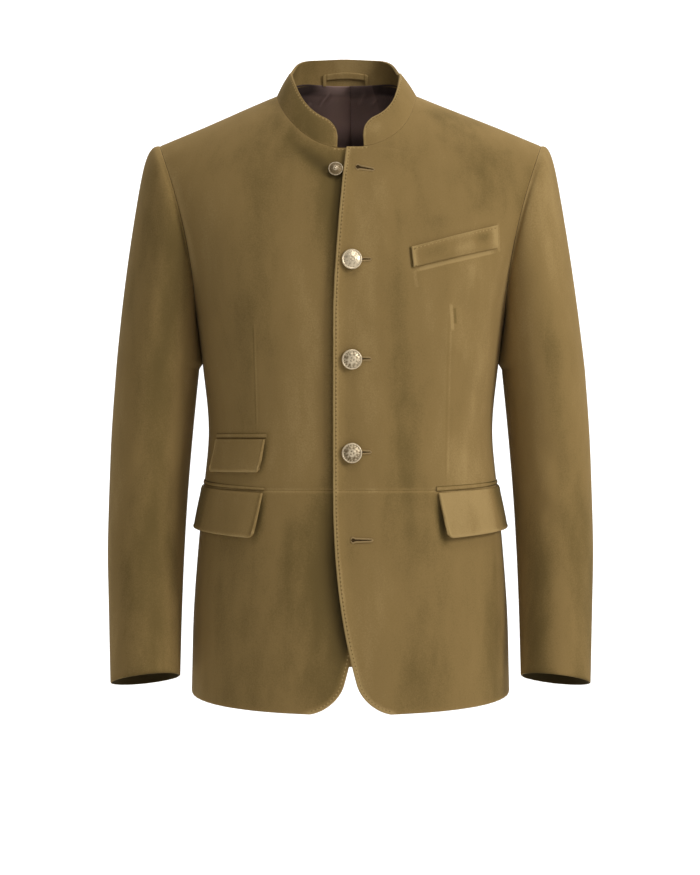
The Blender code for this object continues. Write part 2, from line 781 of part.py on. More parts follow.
def hanger_loop():
    """A flat tape on the inside of the collar at the back, its two ends turned down to the seam."""
    grid = []
    inner = 1 - LOOP_LEG / LOOP_HALF_LENGTH
    half = (0.3, 0.6, inner - 0.03, inner, 0.95, 1.0)
    for along in (*[-share for share in reversed(half)], 0.0, *half):
        leg = smoothstep(inner - 0.03, inner, abs(along))
        corner = max(abs(along) - inner, 0.0) / (1 - inner)
        arch = LOOP_ARCH * along**2
        ends = (between((0.31 - arch, 0.04), leg), 0.53 - arch - 0.05 * corner**2)
        x = LOOP_HALF_LENGTH * along + LOOP_SHIFT
        y = neck_plan(neck_turn(x), back=True)[1]
        base = body_point(*find_on_body(0, 1, x, y, (math.pi - 0.1, 0.7)))
        out = neck_out(base)
        rise, lean = collar_slope(out, False)
        bow = LOOP_BOW * (1 - along**2)
        column = []
        for share in (0.0, 0.1, 0.9, 1.0):
            height = between(ends, share)
            inward = lean * height + COLLAR_WALL + LOOP_CLEAR + bow
            column.append(base + Vector((0, 0, rise * height)) - out * inward)
        grid.append(column)
    return cloth("hanger_loop", grid, wall=LOOP_WALL, gap=0.0)


# Buttons


def button(name, diameter, place, side):
    """A domed metal button with a raised rim, turned on its shank."""
    radius = diameter / 2
    height = diameter * BUTTON_HEIGHT_SHARE
    profile = [(0.0, 1.0), (0.3, 0.95), (0.55, 0.80), (0.76, 0.55), (0.84, 0.50), (0.92, 0.56)]
    profile += [(1.0, 0.40), (0.97, 0.16), (0.72, 0.0), (0.30, 0.0)]
    points = [Vector((r * radius, 0, SHANK_HEIGHT + h * height)) for r, h in profile]
    points += [Vector((0.24 * radius, 0, 0)), Vector((0, 0, 0))]
    mesh = bpy.data.meshes.new(name)
    mesh.from_pydata(points, [(i, i + 1) for i in range(len(points) - 1)], [])
    piece = add_object(name, mesh, METAL)
    turned = piece.modifiers.new("turned", "SCREW")
    turned.angle = 2 * math.pi
    turned.steps = BUTTON_STEPS
    turned.render_steps = BUTTON_STEPS
    turned.use_merge_vertices = True
    turned.merge_threshold = 0.0001
    turned.use_normal_calculate = True
    angle, level = find_on_body(0, 2, side * place[0], place[1], (0.05, 0.2))
    off = front_lift(0.0) if side > 0 else 0.0
    outward = body_normal(angle, level)
    foot = body_point(angle, level) + outward * (off + SEAM_GAP)
    outward.x *= side
    piece.location = (side * foot.x, foot.y, foot.z)
    piece.rotation_euler = outward.to_track_quat("Z", "Y").to_euler()
    return piece


def main():
    for old in list(bpy.data.objects):
        bpy.data.objects.remove(old)
    collection = bpy.data.collections.new("blazer")
    bpy.context.scene.collection.children.link(collection)
    for side in (1, -1):
        front_chest(side)
        front_skirt(side)
        back_panel(side)
        sleeve(side)
    collar()
    for word, side in (("left", 1), ("right", -1)):
        flap(f"hip_flap_{word}", HIP_POCKET, side)
        jet(f"hip_jet_{word}", HIP_POCKET, side)
    flap("ticket_flap", TICKET_POCKET, -1)
    jet("ticket_jet", TICKET_POCKET, -1)
    breast_welt()
    lining_back()
    hanger_loop()
    button("button_neck", COLLAR_BUTTON_DIAMETER, NECK_BUTTON_AT, -1)
    for name, z in FRONT_BUTTONS_Z.items():
        button(name, FRONT_BUTTON_DIAMETER, (FRONT_BUTTONS_X, z), 1)


main()
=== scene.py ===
# %% [markdown]
# # A suede blazer with a stand collar
# A man's coat in olive tan suede, shown filled out as it is worn with nobody in it.  The pieces are
# those that a tailor cuts: fronts, backs, sleeves, collar, pocket flaps.  Each one is a thin shell
# that lies where the imported solid of the same piece lies, with its edges rolled, its seams sunk
# and its creases placed one by one.  First the imported model is loaded as a fixed frame.

# %% Load the fixed frame
import math

import bpy
import numpy as np
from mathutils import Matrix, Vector


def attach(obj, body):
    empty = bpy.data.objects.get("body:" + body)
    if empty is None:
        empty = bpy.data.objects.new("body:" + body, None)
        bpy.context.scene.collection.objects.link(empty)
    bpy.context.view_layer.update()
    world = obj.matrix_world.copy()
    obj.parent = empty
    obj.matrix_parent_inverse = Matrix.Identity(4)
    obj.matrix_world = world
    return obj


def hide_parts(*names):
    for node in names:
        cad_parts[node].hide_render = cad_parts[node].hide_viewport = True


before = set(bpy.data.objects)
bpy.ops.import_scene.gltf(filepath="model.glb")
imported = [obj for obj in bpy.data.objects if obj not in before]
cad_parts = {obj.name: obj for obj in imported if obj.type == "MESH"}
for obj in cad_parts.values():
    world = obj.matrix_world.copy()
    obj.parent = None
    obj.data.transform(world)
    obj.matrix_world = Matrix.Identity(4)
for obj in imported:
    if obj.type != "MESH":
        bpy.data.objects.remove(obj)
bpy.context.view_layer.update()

# %% [markdown]
# ## The shape of the body
# A coat on a body is close to a stack of ovals that widen and narrow with height, closed by a
# sloping shoulder line.  A cloth simulation would need the body that isn't there, and would lose
# the tailored shape.  So the surface is a formula: an angle round the body and a level up it give
# a point.  The same few sizes as in the solids drive it, so shell and solid agree.

# %% Sizes of the body, in metres
UNDERARM_Z, UNDERARM_X = -0.270, 0.184
SHOULDER_X, SHOULDER_SPREAD, SPREAD_START = 0.228, 0.270, 0.35
RIDGE_TOP, RIDGE_SLOPE, RIDGE_FLAT_X, RIDGE_ROUND = 0.0350, 0.414, 0.055, 0.008
CHEST_ROUNDNESS, BLADE_ROUNDNESS = 1.95, 5.0
CHEST_SWELL, BLADE_SWELL = 0.020, 0.058
NECK_HALF_WIDTH, NECK_FRONT, NECK_BACK, NECK_SQUARE = 0.0835, 0.0905, 0.074, 2.7
NECK_HUMP, NECK_HUMP_X, NECK_SHIFT = 0.0150, 0.085, -0.0045
ARMHOLE_CURVE = 1.9

# height, half width, front depth, back depth, squareness
TORSO_ROWS = [
    (-0.740, 0.1905, 0.125, 0.131, 0.20),
    (-0.688, 0.1896, 0.124, 0.129, 0.20),
    (-0.616, 0.1876, 0.122, 0.125, 0.19),
    (-0.545, 0.1826, 0.119, 0.118, 0.18),
    (-0.472, 0.1758, 0.1165, 0.106, 0.17),
    (-0.400, 0.1698, 0.117, 0.100, 0.16),
    (-0.328, 0.1762, 0.123, 0.108, 0.23),
    (UNDERARM_Z, UNDERARM_X, 0.128, 0.117, 0.33),
]
TORSO_TOP_SLOPES = (0.153, 0.04, 0.10, 0.6)

# height, centre x, centre y, half width, half depth
SLEEVE_ROWS = [
    (-0.328, 0.2316, 0.004, 0.0498, 0.070),
    (-0.400, 0.2379, 0.006, 0.0489, 0.065),
    (-0.472, 0.2424, 0.006, 0.0474, 0.060),
    (-0.544, 0.2448, -0.003, 0.0460, 0.054),
    (-0.616, 0.2445, -0.018, 0.0436, 0.049),
    (-0.695, 0.2432, -0.038, 0.0414, 0.044),
]


def smooth(low, high, value):
    """0 up to low and 1 from high on, with a soft step between."""
    t = np.clip((value - low) / (high - low), 0, 1)
    return t * t * (3 - 2 * t)


def bell(value, width, middle=0.0):
    """1 at the middle, fading out on both sides."""
    return np.exp(-(((value - middle) / width) ** 2))


def sections(rows, top_slopes=None):
    """A function that reads a table of cross sections smoothly between its heights."""
    table = np.array(sorted(rows), float)
    heights, values = table[:, 0], table[:, 1:]
    slopes = np.gradient(values, heights, axis=0)
    if top_slopes:
        slopes[-1] = top_slopes

    def at(height):
        height = np.clip(height, heights[0], heights[-1])
        i = np.clip(np.searchsorted(heights, height) - 1, 0, len(heights) - 2)
        step = (heights[i + 1] - heights[i])[..., None]
        t = (height - heights[i])[..., None] / step
        value = (1 + 2 * t) * (1 - t) ** 2 * values[i] + t * (1 - t) ** 2 * step * slopes[i]
        value += t * t * (3 - 2 * t) * values[i + 1] + t * t * (t - 1) * step * slopes[i + 1]
        return np.moveaxis(value, -1, 0)

    return at


torso_at = sections(TORSO_ROWS, TORSO_TOP_SLOPES)
sleeve_at = sections(SLEEVE_ROWS)
print(len(TORSO_ROWS), "body sections and", len(SLEEVE_ROWS), "sleeve sections")

# %% [markdown]
# ## Points of the body surface
# `body` turns an angle and a level into a point.  Below the underarm it reads the ovals from the
# table, and above it every oval closes over the shoulder like the end of a barrel, more roundly on
# the chest than behind the shoulder blades.  `body_out` gives the outward direction at a point, and
# cloth is moved off the body along it.

# %% Points of the body surface


def ridge_height(x):
    past_neck = RIDGE_ROUND * np.log1p(np.exp((np.abs(x) - RIDGE_FLAT_X) / RIDGE_ROUND))
    return RIDGE_TOP - RIDGE_SLOPE * (RIDGE_FLAT_X + past_neck)


def body(angle, level):
    """Points on the wearer's left: angle 0 is centre front, pi/2 the side, pi centre back.

    level is metres below the underarm where it is negative, and 0 to 1 from there to the shoulder.
    """
    angle, level = np.broadcast_arrays(np.asarray(angle, float), np.asarray(level, float))
    half, front, back, square = torso_at(UNDERARM_Z + np.minimum(level, 0))
    sine, cosine = np.sin(angle), np.cos(angle)
    x = half * sine
    y = -np.where(cosine > 0, front, back) * cosine * (1 + square * sine**2)
    towards_back = ((1 - cosine) / 2) ** 1.5
    roundness = CHEST_ROUNDNESS + (BLADE_ROUNDNESS - CHEST_ROUNDNESS) * towards_back
    turn = np.clip(level, 0, 1) * math.pi / 2
    rise, inset = np.sin(turn), np.maximum(np.cos(turn), 0)
    norm = (rise**roundness + inset**roundness) ** (1 / roundness)
    rise, inset = rise / norm, inset / norm
    ridge_x = x * SHOULDER_SPREAD / UNDERARM_X
    z = UNDERARM_Z + np.minimum(level, 0) + (ridge_height(ridge_x) - UNDERARM_Z) * rise
    x = x + (ridge_x - x) * (SPREAD_START * rise + (1 - SPREAD_START) * rise**2)
    swell = np.where(y > 0, BLADE_SWELL, CHEST_SWELL)
    y = y * inset * (1 + swell * 4 * rise * (1 - rise))
    hump = np.exp(-((x / NECK_HUMP_X) ** 6)) * (4 * inset * (1 - inset)) ** 2 * towards_back
    return np.stack([x, y, z + np.where(y > 0, NECK_HUMP * hump, 0)], -1)


def unit(vectors):
    return vectors / np.maximum(np.linalg.norm(vectors, axis=-1, keepdims=True), 1e-12)


def body_out(angle, level):
    """Outward directions of the body surface."""
    step = 1e-4
    across = body(angle + step, level) - body(angle - step, level)
    top = np.minimum(level + step, 1.0)
    return unit(np.cross(across, body(angle, top) - body(angle, top - 2 * step)))


print("shoulder line at", round(float(ridge_height(SHOULDER_X)), 4), "m")

# %% [markdown]
# ## Places that are known from one side
# Buttons and pockets are known from the front and the neckline from above, so the angle and the
# level of such a place have to be looked up.  `on_body` follows the slope of the surface from a
# first guess, and `zero_between` halves an interval in which a condition changes.

# %% Places that are known from one side


def zero_between(miss, low, high):
    """Where miss, a function of an array, changes sign between low and high."""
    low, high = np.array(low, float), np.array(high, float)
    starts_positive = miss(low) > 0
    for _ in range(40):
        middle = (low + high) / 2
        same = (miss(middle) > 0) == starts_positive
        low, high = np.where(same, middle, low), np.where(same, high, middle)
    return (low + high) / 2


def on_body(axes, goal, start):
    """(angle, level) of the surface points whose two coordinates, named in axes, are goal."""
    goal = np.asarray(goal, float)
    angle = np.zeros(goal.shape[:-1]) + start[0]
    level = np.zeros(goal.shape[:-1]) + start[1]
    step, longest = 1e-5, 0.15
    for _ in range(25):
        here = body(angle, level)[..., axes]
        a = (body(angle + step, level)[..., axes] - here) / step
        b = (body(angle, level + step)[..., axes] - here) / step
        miss = goal - here
        det = a[..., 0] * b[..., 1] - a[..., 1] * b[..., 0]
        turn = (miss[..., 0] * b[..., 1] - miss[..., 1] * b[..., 0]) / det
        rise = (a[..., 0] * miss[..., 1] - a[..., 1] * miss[..., 0]) / det
        angle = angle + np.clip(turn, -longest, longest)
        level = level + np.clip(rise, -longest, longest)
    return angle, level


found = on_body([0, 2], [(0.12, -0.19)], (0.5, 0.3))
print("a place on the chest has angle and level", [round(float(value[0]), 3) for value in found])

# %% [markdown]
# ## Neckline and armholes
# A front panel ends at its edge, the neckline, the armhole and the hem.  On the real coat these
# are the lines of the paper pattern.  Here each is a condition on the surface, found row by row, so
# that a panel can be cut as finely as its creases need.  The neckline is an oval seen from above,
# and the armhole is a curve seen from the front.

# %% Neckline and armholes


def neck_plan(turn, back=False):
    """Neckline points seen from above, turned from centre front or centre back."""
    depth = NECK_BACK if back else -NECK_FRONT
    power = 2 / NECK_SQUARE
    return NECK_HALF_WIDTH * np.sin(turn) ** power, depth * np.maximum(np.cos(turn), 0) ** power


def neck_turn(x):
    return np.arcsin((np.abs(x) / NECK_HALF_WIDTH) ** (NECK_SQUARE / 2))


def neck_place(turn, back=False):
    """(angle, level) of neckline points."""
    start = (math.pi - 0.3, 0.8) if back else (0.3, 0.7)
    return on_body([0, 1], np.stack(neck_plan(turn, back), -1), start)


def neck_angle(level, back):
    """Angle at which rows of the cloth meet the neckline."""
    middle = np.full_like(level, math.pi if back else 0.0)

    def outside(angle):
        x, y, _ = np.moveaxis(body(angle, level), -1, 0)
        depth = np.where(y < 0, NECK_FRONT, NECK_BACK)
        oval = np.abs(x / NECK_HALF_WIDTH) ** NECK_SQUARE + np.abs(y / depth) ** NECK_SQUARE
        return oval - 1

    found = zero_between(outside, middle, np.full_like(level, math.pi / 2))
    return np.where(outside(middle) >= 0, middle, found)


def armhole_angle(level, back):
    """Angle at which rows of the cloth meet the armhole, or the side seam below it."""
    top = ridge_height(SHOULDER_X)

    def past(angle):
        point = body(angle, level)
        share = np.clip((point[..., 2] - UNDERARM_Z) / (top - UNDERARM_Z), 0, 1)
        return point[..., 0] - UNDERARM_X - (SHOULDER_X - UNDERARM_X) * share**ARMHOLE_CURVE

    low = np.full_like(level, math.pi - 0.1 if back else 0.1)
    found = zero_between(past, low, np.full_like(level, math.pi / 2))
    return np.where(level <= 0, math.pi / 2, found)


print("pit of the neck at level", round(float(neck_place(np.array([1e-4]))[1][0]), 3))

# %% [markdown]
# ## Front edge, hem and lap
# The front edge leans towards the middle at the neck, swings away below the pocket line and rounds a
# corner into the hem.  The left front laps over the right one, so it stands off a little.  Moving a
# finished mesh would do that too, but buttonholes and pockets need the same points later, so the lap
# is part of the formula.

# %% Front edge, hem and lap
WAIST_SEAM_Z = -0.470
HEM_MEAN_Z, HEM_FRONT_DROP = -0.712, 0.017
EDGE_OVERLAP, EDGE_LEAN, EDGE_LEAN_FROM_Z, NECK_PIT_Z = 0.020, 0.015, -0.270, -0.070
CUTAWAY_FROM_Z, CUTAWAY_RATE, CUTAWAY_POWER, CORNER_RADIUS = -0.450, 0.92, 2.5, 0.035
FRONT_LIFT, LIFT_FULL_X, LIFT_END_X = 0.0031, 0.030, 0.080


def hem_height(angle):
    return HEM_MEAN_Z - HEM_FRONT_DROP * np.cos(angle)


def front_edge_x(z):
    """How far a front's edge lies past centre front (negative) or is cut away from it."""
    leaning = np.maximum(z - EDGE_LEAN_FROM_Z, 0) / (NECK_PIT_Z - EDGE_LEAN_FROM_Z)
    x = -EDGE_OVERLAP + EDGE_LEAN * leaning**1.5
    x = x + CUTAWAY_RATE * np.maximum(CUTAWAY_FROM_Z - z, 0) ** CUTAWAY_POWER
    into_corner = np.clip((hem_height(0.0) + CORNER_RADIUS - z) / CORNER_RADIUS, 0, 1)
    return x + CORNER_RADIUS * (1 - np.sqrt(1 - into_corner**2))


def edge_angle(point_at, rows):
    """Angle at which rows of the cloth start at the front edge."""

    def past(angle):
        point = point_at(angle)
        return point[..., 0] - front_edge_x(point[..., 2])

    return zero_between(past, np.full(rows, -0.4), np.full(rows, 0.9))


def settle(points):
    """The coat sits a little towards the wearer's right at the neck."""
    x, y, z = np.moveaxis(points, -1, 0)
    near = smooth(-0.14, -0.03, z) * smooth(-0.095, -0.03, y) * (1 - smooth(0.09, 0.19, np.abs(x)))
    return np.stack([x + NECK_SHIFT * near, y, z], -1)


def over_body(angle, level, side, off=0.0):
    """Points on the wearer's left (side 1) or right (side -1), moved out from the body by off.

    The left front laps over the right one, so it stands off a little near its edge.
    """
    points = body(angle, level)
    if side > 0:
        lap = FRONT_LIFT * (1 - smooth(LIFT_FULL_X, LIFT_END_X, points[..., 0]))
        off = off + np.where(np.cos(angle) > 0, lap, 0)
    return (points + body_out(angle, level) * np.asarray(off)[..., None]) * (side, 1, 1)


def coat(angle, level, side, off=0.0):
    return settle(over_body(angle, level, side, off))


print("front edge at the hem", round(float(front_edge_x(-0.70)), 4), "m from the middle")

# %% [markdown]
# ## Shader sums in plain Python
# Node maths is easier to read as sums than as boxes and wires.  This class wraps one output
# socket.  Adding or multiplying it adds a Math node, and `node` adds any other kind.

# %% A socket that can be added and multiplied


class Wire:
    """An output socket of a material's node tree."""

    def __init__(self, tree, socket=None):
        self.tree, self.socket = tree, socket

    def node(self, kind, settings=None, inputs=None, out=0):
        """Adds a node: its settings are set first, then its sockets are given values or links."""
        made = self.tree.nodes.new(kind)
        for name, value in (settings or {}).items():
            setattr(made, name, value)
        for name, value in (inputs or {}).items():
            if isinstance(value, Wire):
                self.tree.links.new(value.socket, made.inputs[name])
            else:
                made.inputs[name].default_value = value
        return Wire(self.tree, made.outputs[out])

    def _sum(self, operation, first, second):
        return self.node("ShaderNodeMath", {"operation": operation}, {0: first, 1: second})

    def __add__(self, other):
        return self._sum("ADD", self, other)

    def __radd__(self, other):
        return self._sum("ADD", other, self)

    def __sub__(self, other):
        return self._sum("SUBTRACT", self, other)

    def __rsub__(self, other):
        return self._sum("SUBTRACT", other, self)

    def __mul__(self, other):
        return self._sum("MULTIPLY", self, other)

    def __rmul__(self, other):
        return self._sum("MULTIPLY", other, self)

    def stretch(self, x, y, z):
        """Coordinates multiplied along each axis."""
        settings = {"operation": "MULTIPLY"}
        return self.node("ShaderNodeVectorMath", settings, {0: self, 1: (x, y, z)})

    def noise(self, scale, detail=3.0, rough=0.55):
        inputs = {"Vector": self, "Scale": scale, "Detail": detail, "Roughness": rough}
        return self.node("ShaderNodeTexNoise", None, inputs)

    def remap(self, low, high, to_low=0.0, to_high=1.0):
        inputs = {"Value": self, "From Min": low, "From Max": high, "To Min": to_low, "To Max": to_high}
        return self.node("ShaderNodeMapRange", {"interpolation_type": "SMOOTHSTEP"}, inputs)

    def mix(self, first, second):
        """Two colours mixed by this value."""
        return self.node("ShaderNodeMix", {"data_type": "RGBA"}, {0: self, 6: first, 7: second}, out=2)

    def near(self, start, end, width):
        """1 on a line between two places seen from the front, fading out at width and at both ends."""
        way_x, way_z = end[0] - start[0], end[1] - start[1]
        x = self.node("ShaderNodeSeparateXYZ", None, {"Vector": self}, out="X") - start[0]
        z = self.node("ShaderNodeSeparateXYZ", None, {"Vector": self}, out="Z") - start[1]
        clamped = {"operation": "MULTIPLY", "use_clamp": True}
        t = self.node("ShaderNodeMath", clamped, {0: x * way_x + z * way_z, 1: 1 / (way_x**2 + way_z**2)})
        x, z = x - t * way_x, z - t * way_z
        return (x * x + z * z).remap(width**2, 0.0) * (t * (1 - t)).remap(0.0, 0.12)

    def place(self):
        """Coordinates of the object, which are those of the coat."""
        return self.node("ShaderNodeTexCoord", out="Object")

    def wear_and_shade(self):
        """The value that every piece keeps on its points: its wear and its painted light and shade."""
        return self.node("ShaderNodeAttribute", {"attribute_name": "wear_and_shade"}, out="Fac")

    def to(self, shader, socket):
        self.tree.links.new(self.socket, shader.inputs[socket])

    def bump(self, shader, strength, distance):
        """Uses this value as the height of fine bumps."""
        inputs = {"Strength": strength, "Distance": distance, "Height": self}
        self.node("ShaderNodeBump", None, inputs).to(shader, "Normal")


def material(name, **constants):
    """A new material, its shader with constant values set, and an empty Wire to start from."""
    made = bpy.data.materials.new(name)
    made.use_nodes = True
    shader = made.node_tree.nodes["Principled BSDF"]
    for socket, value in constants.items():
        shader.inputs[socket.replace("_", " ")].default_value = value
    return made, shader, Wire(made.node_tree)


print("shader sums ready")

# %% [markdown]
# ## Suede
# Suede is the flesh side of a hide, sanded to a short nap.  Brushed nap lies in patches that catch
# the light differently, so it looks mottled at the size of a palm, streaked along the strokes and
# grainy up close.  Three noises of those sizes shift one colour.  Edges are rubbed a little paler
# and seams keep a little dark, which every piece tells the material through a value on its points.
# The same value carries painted shade and painted highlights, and where it is lowest the colour
# turns to a painted shadow colour.

# %% Suede finish
SUEDE_DARK = (0.160, 0.1065, 0.0350, 1)
SUEDE_MIDDLE = (0.270, 0.176, 0.0635, 1)
SUEDE_PALE = (0.400, 0.272, 0.110, 1)
# the next colour is a painted shadow colour, for the deepest painted shade
SUEDE_SHADOW = (0.050, 0.0345, 0.0120, 1)
PATCH_SCALE, STROKE_SCALE, GRAIN_SCALE, NAP_SCALE = 16.0, 60.0, 620.0, 210.0
# share by which the wear and the painted light and shade of the points shift the tone
WEAR_AND_SHADE_SHARE = 0.20

# highlights and shades painted along the darts, the welt's ends and seam and small ridges of the fronts,
# finer than the grid: two places seen from the front, width, shift of tone
FRONT_LIGHT_MARKS = [
    ((0.1163, -0.262), (0.1128, -0.468), 0.0022, 0.07),
    ((0.1142, -0.264), (0.1107, -0.468), 0.0022, -0.07),
    ((-0.1112, -0.271), (-0.1082, -0.403), 0.0015, 0.12),
    ((-0.1128, -0.273), (-0.1098, -0.403), 0.0014, -0.10),
    ((0.0700, -0.2166), (0.1740, -0.1898), 0.0032, 0.26),
    ((0.0690, -0.1860), (0.0718, -0.2150), 0.0024, -0.30),
    ((0.0735, -0.2150), (0.0770, -0.2370), 0.0030, 0.10),
    ((0.1420, -0.2060), (0.1400, -0.2380), 0.0060, 0.05),
    ((0.1725, -0.1560), (0.1740, -0.1930), 0.0020, 0.12),
    ((0.1160, -0.2520), (0.1190, -0.2860), 0.0026, 0.16),
    ((0.1205, -0.2570), (0.1220, -0.2780), 0.0022, -0.22),
    ((-0.0080, -0.0660), (0.0190, -0.0610), 0.0036, 0.24),
]


def make_suede(name, painted_light_marks=()):
    made, shader, wire = material(
        name,
        Sheen_Weight=0.07,
        Sheen_Roughness=0.45,
        Sheen_Tint=(0.9, 0.72, 0.42, 1),
        Specular_IOR_Level=0.10,
    )
    place = wire.place()
    patches = place.stretch(1, 1, 0.30).noise(PATCH_SCALE, 2.0, 0.45)
    strokes = place.stretch(1, 1, 0.35).noise(STROKE_SCALE, 2.0, 0.5)
    grain = place.noise(GRAIN_SCALE, 2.0, 0.7)
    tone = 0.07 + 0.36 * patches + 0.22 * strokes + 0.28 * grain
    wear_and_shade = wire.wear_and_shade()
    tone = tone + WEAR_AND_SHADE_SHARE * wear_and_shade
    # painted highlights and shades along fine ridges, ends and seams
    for start, end, width, shift in painted_light_marks:
        tone = tone + shift * place.near(start, end, width)
    colour = tone.remap(0.22, 0.52).mix(SUEDE_DARK, SUEDE_MIDDLE)
    colour = tone.remap(0.50, 0.82).mix(colour, SUEDE_PALE)
    # where the value is lowest, the painted shadow colour takes over
    wear_and_shade.remap(-0.9, -2.4).mix(colour, SUEDE_SHADOW).to(shader, "Base Color")
    (0.86 + 0.12 * grain).to(shader, "Roughness")
    (0.7 * grain + 0.3 * place.noise(NAP_SCALE, 2.0)).bump(shader, 0.22, 0.0006)
    return made


suede = make_suede("suede")
suede_front = make_suede("suede_front", FRONT_LIGHT_MARKS)
print("suede with", len(suede.node_tree.nodes), "nodes, on the fronts", len(suede_front.node_tree.nodes))

# %% [markdown]
# ## Lining, metal and thread
# The lining is dark brown and fairly matt, with a faint diagonal weave, and the value on its points
# paints its shade.  The buttons are pale metal whose hollows have darkened: the relief's height,
# kept on the points, decides how much, and the same value paints a highlight on their upper side
# and shade on the buttons that lie in shade.  The thread matches the suede, and the slit of a
# buttonhole is a dark brown strip painted for the shade inside it.  The solids get the same
# finishes, in case one of them is shown by itself.

# %% Lining, metal and thread finishes
LINING_DARK, LINING_PALE = (0.050, 0.032, 0.027, 1), (0.62, 0.415, 0.36, 1)
METAL_DARK, METAL_PALE = (0.190, 0.130, 0.058, 1), (0.84, 0.69, 0.47, 1)
THREAD_DARK, THREAD_PALE = (0.30, 0.20, 0.08, 1), (0.46, 0.32, 0.15, 1)
SUNK_DARK, SUNK_PALE = (0.205, 0.136, 0.050, 1), (0.250, 0.168, 0.064, 1)
# colours of the painted shadow in a buttonhole's slit
SLIT_SHADOW_DARK, SLIT_SHADOW_PALE = (0.042, 0.025, 0.009, 1), (0.066, 0.040, 0.015, 1)


def make_lining():
    made, shader, wire = material("lining", Sheen_Weight=0.06, Specular_IOR_Level=0.10)
    place = wire.place()
    waves = {"wave_type": "BANDS", "bands_direction": "DIAGONAL"}
    twill = wire.node("ShaderNodeTexWave", waves, {"Vector": place, "Scale": 420.0, "Distortion": 1.0})
    cloudy = place.noise(24.0)
    # the value on the points paints the lining's shade and the light on its wrinkles
    tone = 0.21 + 0.23 * cloudy + 0.12 * twill + wire.wear_and_shade()
    tone.mix(LINING_DARK, LINING_PALE).to(shader, "Base Color")
    (0.50 + 0.16 * cloudy).to(shader, "Roughness")
    twill.bump(shader, 0.12, 0.0003)
    return made


def make_metal():
    made, shader, wire = material("button_metal", Metallic=0.55, Specular_IOR_Level=0.6)
    place = wire.place()
    polish = (wire.wear_and_shade() + 0.5 * place.noise(520.0) - 0.25).remap(0.05, 0.60)
    polish.mix(METAL_DARK, METAL_PALE).to(shader, "Base Color")
    (0.60 - 0.22 * polish).to(shader, "Roughness")
    place.noise(2400.0, 2.0).bump(shader, 0.10, 0.0002)
    return made


def make_thread(name, dark, pale, roughness):
    made, shader, wire = material(name, Roughness=roughness, Specular_IOR_Level=0.1)
    wire.place().noise(1500.0, 1.0).mix(dark, pale).to(shader, "Base Color")
    return made


def finish_of(node):
    """Finish of a CAD node."""
    if node == "lining_back":
        return lining
    return metal if node.startswith("button") else suede


lining = make_lining()
metal = make_metal()
thread = make_thread("thread", THREAD_DARK, THREAD_PALE, 0.7)
sunk = make_thread("sunk_stitch", SUNK_DARK, SUNK_PALE, 1.0)
slit_shadow = make_thread("slit", SLIT_SHADOW_DARK, SLIT_SHADOW_PALE, 1.0)
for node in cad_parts:
    for slot in bpy.data.objects[node].material_slots:
        slot.material = finish_of(node)
print("finishes:", ", ".join(made.name for made in (suede, lining, metal, thread, sunk, slit_shadow)))

# %% [markdown]
# ## Grids of points
# Every panel starts as a grid of points on the coat's surface, closer together at its ends, where
# edges roll and seams sink.  What happens at an edge depends on how far a point is from it, so the
# first helpers space the points, walk along a line and measure distances.

# %% Grids, lines and distances
LINE_STEP = 0.001


def fine_shares(cells, edge=0.0021, growth=1.42, fine=8):
    """Shares from 0 to 1, close together at both ends and even between."""
    ends = np.cumsum([0.0] + [edge * growth**k for k in range(fine)])
    return np.concatenate([ends[:-1], np.linspace(ends[-1], 1 - ends[-1], cells), 1 - ends[-2::-1]])


def lengths_along(line):
    """Distance from the first point of a line to each of its points."""
    return np.concatenate([[0], np.cumsum(np.linalg.norm(np.diff(line, axis=0), axis=1))])


def along_line(line, lengths, steps):
    """Points at given distances along a line."""
    return np.stack([np.interp(steps, lengths, column) for column in line.T], -1)


def distance_to(points, line):
    """Distance of grid points from a line, which is first cut into small steps."""
    lengths = lengths_along(line)
    steps = np.linspace(0, lengths[-1], max(int(lengths[-1] / LINE_STEP), 2))
    dense = along_line(line, lengths, steps)
    flat = points.reshape(-1, 3)
    square = np.full(len(flat), np.inf)
    for part in np.array_split(dense, max(len(dense) // 60, 1)):
        gaps = flat[:, None, :] - part[None]
        square = np.minimum(square, np.einsum("ijk,ijk->ij", gaps, gaps).min(1))
    return np.sqrt(square).reshape(points.shape[:-1])


print("shares of a grid of 4 even cells:", np.round(fine_shares(5), 3).tolist())

# %% [markdown]
# ## Edges, seams and creases
# On suede an edge is what the eye finds first.  A free edge rolls over and is rubbed pale, a seam
# sinks and keeps a little dark, and a row of stitches lies in a groove.  A rolled edge also gets a
# painted highlight, and the turned edge of a cuff painted shade.  A bevel would treat all edges
# alike, so the height of a point, its wear and its painted light are worked out from its distance to
# each border.  Creases, brushed strokes and strokes of painted light and shade are soft ridges
# between two places.

# %% Edges, seams and creases
FREE_ROLL, SEAM_DIP, DIP_WIDTH = 0.0011, 0.0005, 0.0012
STITCH_INSET, WELT_INSET, NARROW_INSET = 0.0036, 0.0028, 0.0024

# depth and wear of borders that hardly sink: under the collar, and where a sleeve is eased in
SHALLOW = {"flat": (0.2, 0.3), "eased": (0.5, 0.5)}


